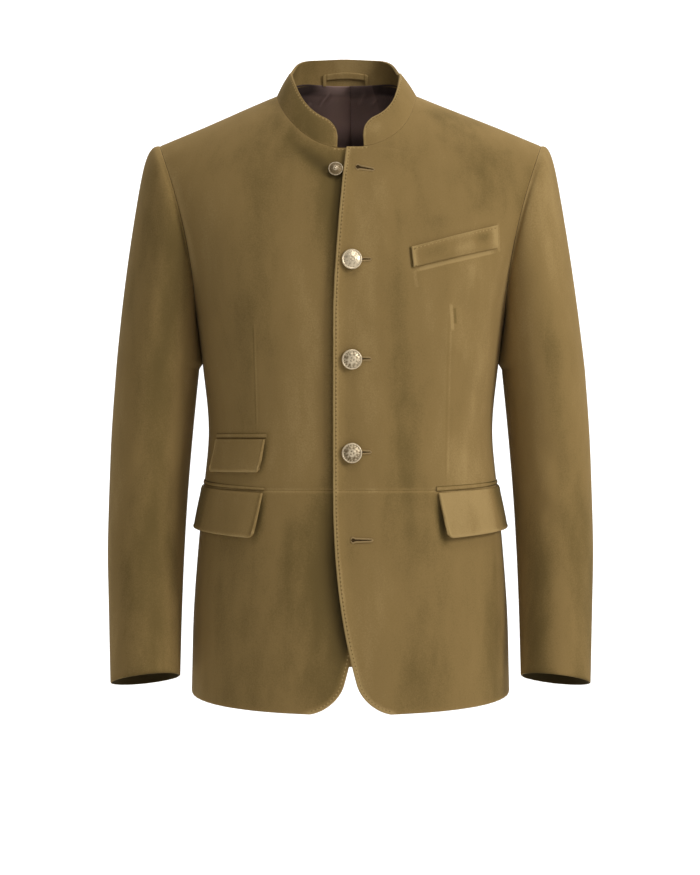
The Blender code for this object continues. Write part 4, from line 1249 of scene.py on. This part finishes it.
def collar():
    left, right = band(neckline(1)), band(neckline(-1))
    grid = settle(np.concatenate([left, right[::-1]]))
    borders = [(grid[:, -1], "narrow"), (grid[0], "narrow"), (grid[-1], "narrow"), (grid[:, 0], "flat")]
    x, y, z = np.moveaxis(grid, -1, 0)
    # painted shade on the collar's right side, away from the light, and on its back; a painted highlight low
    # on its left front; inside, painted light in the middle and painted shade at the sides
    wear_and_shade = -1.3 * bell(x, 0.036, -0.047) * (1 - smooth(-0.02, 0.03, y))
    wear_and_shade = wear_and_shade + 0.9 * bell(x, 0.018, 0.028) * bell(z, 0.012, -0.045) - 1.6 * smooth(0.0, 0.03, y)
    lit = 2.1 * bell(x, 0.035) - 0.9
    return cloth("collar", grid, wall=COLLAR_WALL, borders=borders, wear_and_shade=wear_and_shade, inside_light_and_shade=lit)


collar_cloth = collar()
print("collar cut", cuts["collar"])

# %% [markdown]
# ## Flaps and jets
# A flap hangs from a jet, a narrow piped strip above it.  It lies a little off the body and its free
# edges are rolled, so they catch light above a soft shadow.  Bending a flat plane would leave gaps,
# so each piece is made from points of the panel below it, moved outwards.

# %% Flaps and jets
FLAP_WALL, FLAP_CLEAR = 0.0018, 0.0011
JET_HEIGHT, JET_BULGE, JET_WALL, JET_CLEAR = 0.006, 0.0009, 0.0004, 0.0001
FLAP_CORNER_SHARE, FLAP_ROUND_SHARE, FLAP_CROWN = 0.13, 0.042, 0.0007

# at the front and rear end: turns about the body and heights of jet and flap, height of the flap and
# how far it stands off; swing is how far the flap leans towards the rear
POCKETS = {
    "hip": {
        "jet_turns": (0.605, 1.75),
        "jet_tops": (-0.4655, -0.4565),
        "flap_turns": (0.615, 1.74),
        "flap_tops": (-0.4732, -0.4642),
        "heights": (0.0530, 0.0486),
        "stand": (0.0065, 0.0048),
        "swing": 0.041,
    },
    "ticket": {
        "jet_turns": (0.610, 1.185),
        "jet_tops": (-0.4035, -0.4035),
        "flap_turns": (0.620, 1.175),
        "flap_tops": (-0.4105, -0.4105),
        "heights": (0.0388, 0.0388),
        "stand": (0.0015, 0.003),
        "swing": 0.035,
    },
}

def between(ends, share):
    return ends[0] + (ends[1] - ends[0]) * share


def flap(node, pocket, side, wear_and_shade=0.0, rear=0.0, rim=0.0):
    """A flap with rounded lower corners; rear paints shade on its rear half and rim paints shade on its
    front rim.
    """
    sizes = POCKETS[pocket]
    at_ends = [np.linspace(0, 0.06, 9), np.linspace(0.94, 1, 9)]
    u = np.unique(np.concatenate([fine_shares(60, edge=0.003), *at_ends]))[:, None]
    share = fine_shares(26, edge=0.006)[None]
    height = between(sizes["heights"], u)
    from_end = np.clip(np.minimum(u, 1 - u) / FLAP_ROUND_SHARE, 0, 1)
    corner = FLAP_CORNER_SHARE * height * (1 - np.sqrt(1 - (1 - from_end) ** 2))
    angle = between(sizes["flap_turns"], u) + sizes["swing"] * share
    z = between(sizes["flap_tops"], u) - (height - corner) * share
    off = FLAP_WALL + FLAP_CLEAR + share * between(sizes["stand"], u**2)
    grid = coat(angle, z - UNDERARM_Z, side, off)
    crown = FLAP_CROWN * np.sin(np.pi * u) * np.sin(np.pi * share)
    borders = [(grid[0], "rolled"), (grid[-1], "rolled"), (grid[:, -1], "rolled"), (grid[:, 0], "seam")]
    wear_and_shade = wear_and_shade - rear * smooth(0.36, 0.62, u) - rim * (1 - smooth(0.01, 0.05, u))
    cloth(node, grid, wall=FLAP_WALL, borders=borders, relief=crown, wear_and_shade=wear_and_shade)


def jet(node, pocket, side, ends, rear=0.0):
    """A piped strip, tapered at its ends, with painted shadow along its long edges; rear paints shade on its
    rear half.
    """
    sizes = POCKETS[pocket]
    u = fine_shares(50, edge=0.004)[:, None]
    share = np.linspace(0, 1, 15)[None]
    taper = 0.5 + (share - 0.5) * between(ends, u)
    level = between(sizes["jet_tops"], u) - JET_HEIGHT * taper - UNDERARM_Z
    piping = JET_BULGE * (1 - np.abs(2 * share - 1) ** 3)
    angle = np.broadcast_to(between(sizes["jet_turns"], u), level.shape)
    grid = coat(angle, level, side, JET_WALL + JET_CLEAR + piping)
    # painted shadow along both long edges, and painted shade on the rear half
    wear_and_shade = 0.35 - 1.7 * smooth(0.40, 0.90, np.abs(2 * share - 1)) - rear * smooth(0.36, 0.62, u)
    cloth(node, grid, wall=JET_WALL, wear_and_shade=wear_and_shade)


# the left hip flap is painted lighter where it faces the light; the rear halves, which turn away, get
# painted shade
flap("ticket_flap", "ticket", -1, rim=0.9)
jet("ticket_jet", "ticket", -1, (1.0, 1.0))
flap("hip_flap_left", "hip", 1, wear_and_shade=1.1, rear=2.4)
jet("hip_jet_left", "hip", 1, (1.0, 0.8), rear=1.2)
flap("hip_flap_right", "hip", -1, rear=1.1, rim=0.9)
jet("hip_jet_right", "hip", -1, (0.65, 1.0), rear=0.8)
print("hip flap cut", cuts["hip_flap_left"], "hip jet cut", cuts["hip_jet_left"])

# %% [markdown]
# ## Breast welt
# The breast pocket has no flap.  A welt, a slanted strip that is sewn down at its ends, stands over
# its opening.  Only its corners are given, as places seen from the front.  The points between them
# are looked up on the body and moved outwards.

# %% Breast welt
WELT_CROWN = 0.0006

# upper and lower line of the breast welt seen from the front, and strokes of its nap and of painted light
# and shade, lightest at its ends
WELT_HIGH = np.array([(0.0700, -0.1888), (0.1703, -0.1607)])
WELT_LOW = np.array([(0.0725, -0.2120), (0.1710, -0.1870)])
WELT_NAP_AND_LIGHT = [
    ((0.140, -0.179), (0.168, -0.171), 0.007, -0.7, 0.0),
    ((0.116, -0.192), (0.148, -0.183), 0.007, 0.6, 0.0),
    ((0.080, -0.197), (0.112, -0.189), 0.008, -0.5, 0.0),
    ((0.0715, -0.184), (0.0745, -0.217), 0.0045, 0.9, 0.0),
    ((0.1682, -0.156), (0.1690, -0.193), 0.0050, 1.0, 0.0),
]


def welt():
    u, share = fine_shares(60, edge=0.003)[:, None, None], fine_shares(18, edge=0.008)[None, :, None]
    high, low = between(WELT_HIGH, u), between(WELT_LOW, u)
    angle, level = on_body([0, 2], high + (low - high) * share, (0.5, 0.3))
    grid = coat(angle, level, 1, FLAP_WALL + FLAP_CLEAR)
    crown = WELT_CROWN * np.sin(np.pi * u[..., 0]) * np.sin(np.pi * share[..., 0])
    borders = [(grid[0], "sewn"), (grid[-1], "sewn"), (grid[:, 0], "sewn"), (grid[:, -1], "seam")]
    x, _, z = np.moveaxis(grid, -1, 0)
    wear_and_shade = sum(fold(x, z, *stroke) for stroke in WELT_NAP_AND_LIGHT)
    return cloth("breast_welt", grid, wall=FLAP_WALL, borders=borders, relief=crown, wear_and_shade=wear_and_shade)


welt_cloth = welt()
print("welt cut", cuts["breast_welt"])

# %% [markdown]
# ## Back lining
# Through the neck one sees the back lining, with a pleat down its middle that gives room to move.
# The pleat is a flat fold of three layers, drawn as a path across the back that doubles back on
# itself, because a crease in a single layer would show no edge.

# %% Back lining
LINING_WALL, LINING_CLEAR, LINING_HALF_WIDTH = 0.0009, 0.0022, 0.072
LINING_LOW_LEVEL, LINING_LOW_SPREAD, LINING_ABOVE_SEAM, PLEAT_LAYER = 0.28, 0.55, 0.014, 0.0009
LINING_TUCK, LINING_RISE, LINING_RISE_SHARE, CREASE_PAINTED_LIGHT = 0.0010, 0.0022, 0.10, 120

# wrinkles of the lining seen from the front: start, end, half width, height, bow
LINING_CREASES = [
    ((-0.0345, 0.0045), (-0.0215, 0.0190), 0.0016, 0.0012, 0.0),
    ((-0.0325, 0.0028), (-0.0195, 0.0170), 0.0018, -0.0012, 0.0),
    ((0.0015, 0.0200), (0.0130, 0.0035), 0.0024, -0.0012, 0.0),
    ((0.0130, 0.0030), (0.0230, 0.0200), 0.0024, 0.0013, 0.0),
    ((-0.0560, -0.0020), (-0.0450, 0.0070), 0.0018, 0.0011, 0.0),
    ((0.0300, 0.0040), (0.0380, 0.0130), 0.0018, 0.0011, 0.0),
    ((-0.0300, -0.0900), (-0.0240, -0.0100), 0.0050, 0.0010, 0.002),
]


def pleat_path():
    """Places across the back from -1 to 1, and how deep each one lies, in steps of PLEAT_LAYER."""
    bend = np.linspace(0, math.pi, 9)
    x = np.linspace(-1, 0.02, 64)
    path = [np.stack([x, 0 * x], -1)]
    path += [np.stack([0.20 + 0.012 * np.sin(bend), 1 - np.cos(bend)], -1)]
    path += [np.stack([0.06 - 0.012 * np.sin(bend), 3 - np.cos(bend)], -1)]
    x = np.linspace(0.14, 1, 54)
    path += [np.stack([x, 4 * (1 - smooth(0.1, 0.6, x))], -1)]
    return np.concatenate(path).T


def lining_painted_shade(x, z, share, layers):
    """Painted shade of the lining: palest in the middle of its upper half, and dark low down and at its top,
    where the coat shades it.
    """
    first = (layers < 1)[:, None]
    tone = first * 0.52 * bell(x, 0.022, -0.010) + ~first * 0.12 - 0.20 * smooth(0.034, 0.055, np.abs(x))
    tone = tone - (0.25 * first + 0.50) * (1 - smooth(-0.046, -0.016, z))
    return tone - 0.38 * (1 - smooth(0.05, 0.16, share))


def lining_back():
    across, layers = pleat_path()
    x = LINING_HALF_WIDTH * across
    y = neck_plan(neck_turn(x), True)[1]
    top_angle, top_level = on_body([0, 1], np.stack([x, y], -1), (math.pi - 0.3 * across, 0.8))
    share = np.concatenate([np.linspace(0, 0.5, 90)[:-1], np.linspace(0.5, 1, 20)])[None]
    angle = top_angle[:, None] + (math.pi - LINING_LOW_SPREAD * across - top_angle)[:, None] * share
    level = top_level[:, None] + LINING_ABOVE_SEAM + (LINING_LOW_LEVEL - top_level)[:, None] * share
    flat, out = body(angle, level), body_out(angle, level)
    flat_x, _, flat_z = np.moveaxis(flat, -1, 0)
    ripple = sum(fold(flat_x, flat_z, *crease) for crease in LINING_CREASES)
    ripple = ripple * smooth(0.06, 0.14, np.abs(across - 0.05))[:, None] * smooth(0.0, 0.02, share)
    print("lining wrinkles up to", round(float(np.abs(ripple).max()) * 1000, 2), "mm high")
    # painted shade of the lining, and painted light and shade that follows its wrinkles
    wear_and_shade = lining_painted_shade(flat_x, flat_z, share, layers) + CREASE_PAINTED_LIGHT * ripple
    off = -(WALL + LINING_WALL + LINING_CLEAR + PLEAT_LAYER * layers)[:, None] - ripple
    grid = flat + out * off[..., None]
    seam = body(top_angle, top_level)
    seam = seam - neck_out(seam) * (COLLAR_WALL + LINING_TUCK + PLEAT_LAYER * layers)[:, None]
    rise = (1 - np.clip(share / LINING_RISE_SHARE, 0, 1))[..., None] ** 1.5
    grid = settle(grid + (seam + np.array((0, 0, LINING_RISE)) - grid[:, 0])[:, None] * rise)
    half = out * LINING_WALL / 2
    points = np.concatenate([(grid + half).reshape(-1, 3), (grid - half).reshape(-1, 3)])
    faces = shell_faces(*grid.shape[:2], True)[1]
    piece = add_mesh("lining_back_cloth", points, faces, (lining,), wear_and_shade=np.tile(wear_and_shade.reshape(-1), 2))
    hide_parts("lining_back")
    declare_cut("lining_back", grid)


lining_back()
print("lining cut", cuts["lining_back"])

# %% [markdown]
# ## Hanger loop
# The coat hangs by a short strip of suede inside the collar.  It is sewn down at its two ends and
# bows off the band between them.  Its points use the slope of the band, so that both lean alike.

# %% Hanger loop
LOOP_HALF_LENGTH, LOOP_SHIFT, LOOP_LEG = 0.0285, -0.0015, 0.0036
LOOP_BOW, LOOP_CLEAR, LOOP_WALL, LOOP_ROWS = 0.0018, 0.0018, 0.0012, 17

# heights of the loop as shares of the collar's: feet, lower and upper edge, drop of ends and corners
LOOP_FOOT, LOOP_LOW, LOOP_HIGH, LOOP_ARCH, LOOP_CORNER = 0.04, 0.31, 0.53, 0.07, 0.05


def hanger_loop():
    inner = 1 - LOOP_LEG / LOOP_HALF_LENGTH
    half = np.concatenate([np.linspace(0, inner - 0.06, 18), np.linspace(inner - 0.05, 1, 22)])
    along = np.concatenate([-half[:0:-1], half])
    leg = smooth(inner - 0.03, inner, np.abs(along))[:, None]
    corner = np.clip((np.abs(along) - inner) / (1 - inner), 0, 1)[:, None]
    arch = LOOP_ARCH * along[:, None] ** 2
    low = (LOOP_LOW - arch) * (1 - leg) + LOOP_FOOT * leg
    high = LOOP_HIGH - arch - LOOP_CORNER * corner**2
    # painted shade where the strap meets its legs and its ends tuck behind them
    wear_and_shade = 0.25 - 1.6 * bell(np.abs(along), 0.025, inner - 0.03)[:, None]
    x = LOOP_HALF_LENGTH * along + LOOP_SHIFT
    y = neck_plan(neck_turn(x), True)[1]
    base = body(*on_body([0, 1], np.stack([x, y], -1), (math.pi - 0.1, 0.7)))
    out = neck_out(base)
    rise, lean = band_slope(out, base[:, 1] < 0)
    height = low + (high - low) * np.linspace(0, 1, LOOP_ROWS)
    bow = LOOP_BOW * (1 - along**2)
    inward = lean[:, None] * height + (COLLAR_WALL + LOOP_CLEAR + bow)[:, None]
    up = np.stack([height * 0, height * 0, rise[:, None] * height], -1)
    grid = settle(base[:, None] + up - out[:, None] * inward[..., None])
    borders = [(grid[:, 0], "free"), (grid[:, -1], "free")]
    behind = grid * (0, 0, 1) + np.array((0, 1.0, 0))
    cloth("hanger_loop", grid, behind, LOOP_WALL, borders, wear_and_shade=wear_and_shade)


hanger_loop()
print("loop cut", cuts["hanger_loop"])

# %% [markdown]
# ## Buttons
# Cast metal buttons: a dome with a raised rim, a ring of beads, a ring of leaves and a small boss
# with three pits.  A lathe would give only rings, so the dome is a polar grid whose height also
# depends on the angle.  How high a point stands goes to the material, which darkens hollows.

# %% Buttons
BUTTON_HEIGHT_SHARE, SHANK_HEIGHT, RELIEF_SHARE, INNERMOST = 0.24, 0.0022, 0.10, 0.004
SMALL_BUTTON, LARGE_BUTTON = 0.0172, 0.0235

# distance from the middle as a share of the radius, and height as a share of the button's height
BUTTON_TOP = np.array(
    [(0, 1.0), (0.3, 0.95), (0.55, 0.80), (0.76, 0.55), (0.84, 0.50), (0.92, 0.56), (1.0, 0.40)]
)
BUTTON_UNDER = np.array([(0.97, 0.16), (0.72, 0.0), (0.30, 0.0), (0.24, -0.39), (0.0, -0.39)])


def tube_faces(rows, columns, flip=False):
    """Faces of rings that are joined into a tube, with a cap on each end."""
    index = np.arange(rows * columns).reshape(rows, columns)
    wrap = np.roll(index, -1, axis=1)
    sides = np.stack([index[:-1], wrap[:-1], wrap[1:], index[1:]], -1).reshape(-1, 4)
    caps = [index[0, ::-1].tolist(), index[-1].tolist()]
    if flip:
        return sides[:, [0, 3, 2, 1]].tolist() + [cap[::-1] for cap in caps]
    return sides.tolist() + caps


def ornament(r, turn):
    """Relief of a boss, leaves, beads and rim, from 0 in the hollows to 1."""
    sway = 0.7 * np.sin(3 * turn + 1.0) + 0.5 * np.sin(5 * turn + 2.0)
    pits = 0.5 + 0.5 * np.cos(3 * turn + 0.6)
    boss = 0.45 * np.exp(-((r / 0.36) ** 4)) - 0.75 * pits * bell(r, 0.060, 0.17)
    leaves = 0.17 * np.cos(8 * turn + sway) * bell(r, 0.10, 0.52)
    beads = 0.17 * np.cos(17 * turn + 2 * sway) * bell(r, 0.07, 0.74)
    rim = 0.4 * bell(r, 0.07, 0.94)
    return np.clip(0.44 + boss + leaves + beads + rim, 0, 1)


def button(node, diameter, place, side, painted_shade):
    radius, height = diameter / 2, diameter * BUTTON_HEIGHT_SHARE
    turn = np.linspace(0, 2 * math.pi, 97)[:-1]
    r = np.linspace(INNERMOST, 1, 44)[:, None]
    raised = ornament(r, turn)
    dome = np.interp(r, BUTTON_TOP[:, 0], BUTTON_TOP[:, 1])
    top = dome + RELIEF_SHARE * (raised - 0.5) * (r < 0.985)
    under = np.repeat(BUTTON_UNDER[:, 1:], len(turn), axis=1)
    rings_r = np.concatenate([r, np.maximum(BUTTON_UNDER[:, :1], INNERMOST)]) * radius
    rings_h = SHANK_HEIGHT + np.concatenate([top, under]) * height
    points = np.stack([rings_r * np.cos(turn), rings_r * np.sin(turn), rings_h], -1)
    lit = raised + 0.06 * r * np.cos(turn - 0.9)
    wear_and_shade = np.concatenate([lit.reshape(-1), np.full(under.size, 0.2)]) - painted_shade
    angle, level = on_body([0, 2], np.array([[side * place[0], place[1]]]), (0.05, 0.2))
    outward = body_out(angle, level)[0] * (side, 1, 1)
    foot = body(angle, level)[0] * (side, 1, 1) + outward * ((FRONT_LIFT if side > 0 else 0) + SEAM_GAP)
    turned = Vector(outward).to_track_quat("Z", "Y").to_matrix()
    placed = points.reshape(-1, 3) @ np.array(turned).T + foot
    piece = add_mesh(f"{node}_metal", placed, tube_faces(*points.shape[:2], True), (metal,), wear_and_shade=wear_and_shade)
    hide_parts(node)


# painted shade dims the buttons that lie in shade, the one at the neck most; below zero it lightens the
# chest button
button("button_neck", SMALL_BUTTON, (-0.0172, -0.098), -1, painted_shade=0.41)
front_buttons = (("chest", -0.204, -0.08), ("middle", -0.318, 0.12), ("waist", -0.4265, 0.20))
for word, z, painted_shade in front_buttons:
    button(f"button_{word}", LARGE_BUTTON, (0.0016, z), 1, painted_shade)
print(1 + len(front_buttons), "buttons")

# %% [markdown]
# ## Little bars of thread
# A stitch and a loop of a buttonhole are both a short rounded piece of thread.  Hundreds of objects
# would be slow to handle, so the bars of a line are joined into one mesh.

# %% Little bars of thread
BAR_SIDES = 8

# place along a bar and thickness there, both as shares
BAR_RINGS = [(-0.5, 0.30), (-0.40, 0.88), (0.0, 1.0), (0.40, 0.88), (0.5, 0.30)]


def evenly(line, pitch, shift):
    """Points at an even pitch along a line, with their directions."""
    lengths = lengths_along(line)
    steps = np.arange(pitch * (0.5 + shift), lengths[-1], pitch)
    before, at, after = (along_line(line, lengths, steps + move) for move in (-0.0005, 0.0, 0.0005))
    return at, unit(after - before)


def bars(places, ways, outs, length, radius, height):
    """Little rounded bars, each an oval in section, as one set of points and faces."""
    turn = np.linspace(0, 2 * math.pi, BAR_SIDES + 1)[:-1, None]
    sides = unit(np.cross(outs, ways))
    oval = np.cos(turn) * sides[:, None] * radius + np.sin(turn) * outs[:, None] * height
    rings = [places[:, None] + ways[:, None] * (along * length) + oval * thick for along, thick in BAR_RINGS]
    points = np.stack(rings, 1)
    count, rows, columns = points.shape[:3]
    one_bar = tube_faces(rows, columns)
    faces = [[v + k * rows * columns for v in face] for k in range(count) for face in one_bar]
    return points.reshape(-1, 3), faces


print("a bar has", len(tube_faces(len(BAR_RINGS), BAR_SIDES)), "faces")

# %% [markdown]
# ## Rows of stitches
# The edges are sewn by hand with small spaced stitches that sink into the suede, which swells between
# them.  Stitches and swellings are both bars, laid along a line that runs inside an edge at a fixed
# distance.  A bump in the material would show them too, but the mesh itself would stay smooth.

# %% Rows of stitches
STITCH_PITCH, STITCH_LENGTH, STITCH_RADIUS, STITCH_HEIGHT = 0.0047, 0.0021, 0.0010, 0.00035
NECK_INSET, FROM_BORDER = 0.0026, 12

# finish, shift along the line as a share of the pitch, depth of the bar's middle below the cloth
BAR_KINDS = {"sunk": (sunk, 0.0, 0.00028), "swell": (suede, 0.5, 0.00014)}


def inset_line(border, out, inward, inset):
    """A border line moved along the cloth towards the inside of the panel."""
    way = unit(np.gradient(border, axis=0))
    across = unit(np.cross(out, way))
    across = across * np.sign(np.sum(across * inward, -1, keepdims=True))
    return border + across * inset


def stitch_row(name, border, out, inward, inset=STITCH_INSET, wear_and_shade=1.7):
    """Sunk stitches, with the suede that swells between them.  Gives the number of stitches."""
    middle = inset_line(border, out, inward, inset)
    counts = {}
    for kind, (finish, shift, depth) in BAR_KINDS.items():
        line = middle - out * depth
        places, ways = evenly(line, STITCH_PITCH, shift)
        nearest = np.linalg.norm(places[:, None] - line[None], axis=-1).argmin(1)
        points, faces = bars(places, ways, out[nearest], STITCH_LENGTH, STITCH_RADIUS, STITCH_HEIGHT)
        piece = add_mesh(f"{name}_{kind}", points, faces, (finish,), wear_and_shade=np.full(len(points), wear_and_shade))
        counts[kind] = len(places)
    return counts["sunk"]


def border_of(grid, out, rows=slice(None), column=0):
    """Points, outward directions and inward directions of a part of a grid's first or last column."""
    border = grid[rows, column]
    return border, out[rows, column], grid[rows, FROM_BORDER] - border


total = 0
for side, word in SIDE_WORDS.items():
    grid, out, pit, to_band = chests[side].values()
    total += stitch_row(f"stitches_edge_{word}", *border_of(grid, out, slice(0, pit)))
    total += stitch_row(f"stitches_skirt_{word}", *border_of(**skirts[side]))
    bare = border_of(grid, out, slice(pit - 1, to_band + 2))
    total += stitch_row(f"stitches_neck_{word}", *bare, NECK_INSET)
upper_edge = border_of(**collar_cloth, rows=slice(2, -2), column=-1)
total += stitch_row("stitches_collar", *upper_edge, NARROW_INSET, wear_and_shade=0.9)
welt_turned = {key: points.swapaxes(0, 1) for key, points in welt_cloth.items()}
for name, made in (("stitches_welt", welt_cloth), ("stitches_welt_end", welt_turned)):
    total += stitch_row(name, *border_of(**made, rows=slice(3, -3)), WELT_INSET)
print(total, "stitches")

# %% [markdown]
# ## Buttonholes
# A tailored buttonhole is a slit with a round eye at the button's end, bound by close thread loops.
# The slit's shade is painted as a thin dark strip on the cloth, wider at the eye, and the loops are
# the same little bars as the stitches, set across the slit's rim, with two more at its end.

# %% Buttonholes
# ends seen from the front, eye first
BUTTONHOLES = {
    "neck": ((0.0062, -0.0955), (0.0268, -0.0990)),
    "chest": ((0.0040, -0.2035), (0.0232, -0.2035)),
    "middle": ((0.0040, -0.3175), (0.0232, -0.3175)),
    "waist": ((0.0040, -0.4255), (0.0232, -0.4255)),
    "low": ((0.0005, -0.5275), (0.0248, -0.5275)),
}
SLIT_HALF, SLIT_TAPER, EYE_HALF, EYE_PLACE, EYE_WIDTH = 0.00135, 0.60, 0.00110, 0.0022, 0.0020
SLIT_OFF, SLIT_SAG, THREAD_OFF, THREAD_OUT, THREAD_PITCH = 0.0007, 0.0003, 0.0006, 0.0009, 0.00062
THREAD_LENGTH, THREAD_RADIUS, THREAD_HEIGHT = 0.0021, 0.00040, 0.00036
TACKS = np.array([[0.0002], [0.0010]])


def front_place(seen):
    """Points and outward directions on the left front from places seen from the front."""
    seen = np.asarray(seen, float)
    angle, level = on_body([0, 2], seen, (0.05, 0.2))
    return coat(angle, level, 1), body_out(angle, level)


def buttonhole(name, eye, end):
    eye, end = np.array(eye), np.array(end)
    length = np.linalg.norm(end - eye)
    way = (end - eye) / length
    across = np.array([-way[1], way[0]])
    t = np.linspace(0, 1, 41)
    half = SLIT_HALF * np.sqrt(np.clip(1 - (2 * t - 1) ** 8, 0, 1)) * (1 - SLIT_TAPER * t)
    half = half + EYE_HALF * bell(t * length, EYE_WIDTH, EYE_PLACE)
    centre = eye + way * (t * length)[:, None]
    upper, lower = centre + across * half[:, None], centre - across * half[:, None]
    rows = []
    for share in np.linspace(0, 1, 5):
        points, out = front_place(upper + (lower - upper) * share)
        rows.append(points + out * (SLIT_OFF - SLIT_SAG * math.sin(math.pi * share)))
    grid = np.stack(rows, 1)
    slit = add_mesh(f"buttonhole_{name}_slit", grid.reshape(-1, 3), quads(*grid.shape[:2]), (slit_shadow,))
    steps = np.arange(0.0, length, THREAD_PITCH)
    seen = [along_line(edge, t * length, steps) for edge in (upper, lower)]
    seen = [seen[0] + across * THREAD_OUT, seen[1] - across * THREAD_OUT, end + way * TACKS]
    points, outs = front_place(np.concatenate(seen))
    ways = unit(np.broadcast_to((across[0], 0.0, across[1]), points.shape))
    size = THREAD_LENGTH, THREAD_RADIUS, THREAD_HEIGHT
    points, faces = bars(points + outs * THREAD_OFF, ways, outs, *size)
    bound = add_mesh(f"buttonhole_{name}_thread", points, faces, (thread,))


for name, (eye, end) in BUTTONHOLES.items():
    buttonhole(name, eye, end)
print(len(BUTTONHOLES), "buttonholes")

# %% [markdown]
# ## Stage, light and camera
# A plain pale sweep stands well below the hem, at the height a wearer would stand on.  The light is
# soft and stronger from the wearer's left, so the right half falls into gentle shade.  The camera
# is level and far away with a long lens, so that the coat is hardly foreshortened.

# %% Stage, light and camera
FLOOR_Z, SWEEP_BACK, SWEEP_RADIUS, SWEEP_REACH, SWEEP_TOP = -1.45, 3.2, 1.2, 9.0, 6.0
CAMERA_DISTANCE, VIEW_WIDTH, SENSOR_WIDTH = 3.2, 0.84, 36.0


def sweep():
    """A floor that turns up into a wall behind the coat."""
    line = [(-SWEEP_REACH, FLOOR_Z)]
    for bend in np.linspace(0, math.pi / 2, 17):
        back = SWEEP_BACK + SWEEP_RADIUS * math.sin(bend)
        line.append((back, FLOOR_Z + SWEEP_RADIUS * (1 - math.cos(bend))))
    line.append((SWEEP_BACK + SWEEP_RADIUS, SWEEP_TOP))
    points = [(x, y, z) for y, z in line for x in (-SWEEP_REACH, SWEEP_REACH)]
    faces = [(2 * i, 2 * i + 1, 2 * i + 3, 2 * i + 2) for i in range(len(line) - 1)]
    mesh = bpy.data.meshes.new("sweep")
    mesh.from_pydata(points, [], faces)
    mesh.materials.append(material("sweep", Base_Color=(0.93, 0.93, 0.93, 1), Roughness=0.9)[0])
    mesh.shade_smooth()
    stage = bpy.data.objects.new("sweep", mesh)
    bpy.context.scene.collection.objects.link(stage)


def area_light(name, place, aim, size, power):
    data = bpy.data.lights.new(name, "AREA")
    data.shape, data.size, data.size_y, data.energy = "RECTANGLE", *size, power
    lamp = bpy.data.objects.new(name, data)
    lamp.location = place
    lamp.rotation_euler = (Vector(aim) - Vector(place)).to_track_quat("-Z", "Y").to_euler()
    bpy.context.scene.collection.objects.link(lamp)


sweep()
area_light("key_right", (2.9, -1.9, 1.0), (0.0, 0.0, -0.35), (1.1, 1.5), 71)
area_light("fill_left", (-2.4, -2.6, 0.3), (0.0, 0.0, -0.4), (1.6, 2.0), 5)
area_light("top", (0.5, -1.4, 2.3), (0.0, 0.0, -0.2), (1.2, 1.2), 24)
area_light("backdrop", (0.0, 1.4, 2.6), (0.0, 4.4, -0.3), (4.0, 1.6), 210)
world = bpy.data.worlds.new("studio")
world.use_nodes = True
world.node_tree.nodes["Background"].inputs["Color"].default_value = (1, 1, 1, 1)
world.node_tree.nodes["Background"].inputs["Strength"].default_value = 0.22
bpy.context.scene.world = world
bpy.context.scene.view_settings.view_transform = "Standard"

camera_data = bpy.data.cameras.new("camera")
camera_data.sensor_fit, camera_data.sensor_width = "HORIZONTAL", SENSOR_WIDTH
camera_data.lens = SENSOR_WIDTH * CAMERA_DISTANCE / VIEW_WIDTH
camera = bpy.data.objects.new("camera", camera_data)
camera.location = (-0.0006, -CAMERA_DISTANCE, -0.4086)
camera.rotation_euler = (math.pi / 2, 0, 0)
bpy.context.scene.collection.objects.link(camera)
bpy.context.scene.camera = camera
print("camera lens", round(camera_data.lens, 2), "mm")

# %% Measure and finish
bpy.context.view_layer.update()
for node, (width, length, area) in cuts.items():
    print(f"{node}: {width * 1000:.0f} x {length * 1000:.0f} mm, {area * 1e4:.0f} cm2")
print(len(cuts), "pieces of cloth")
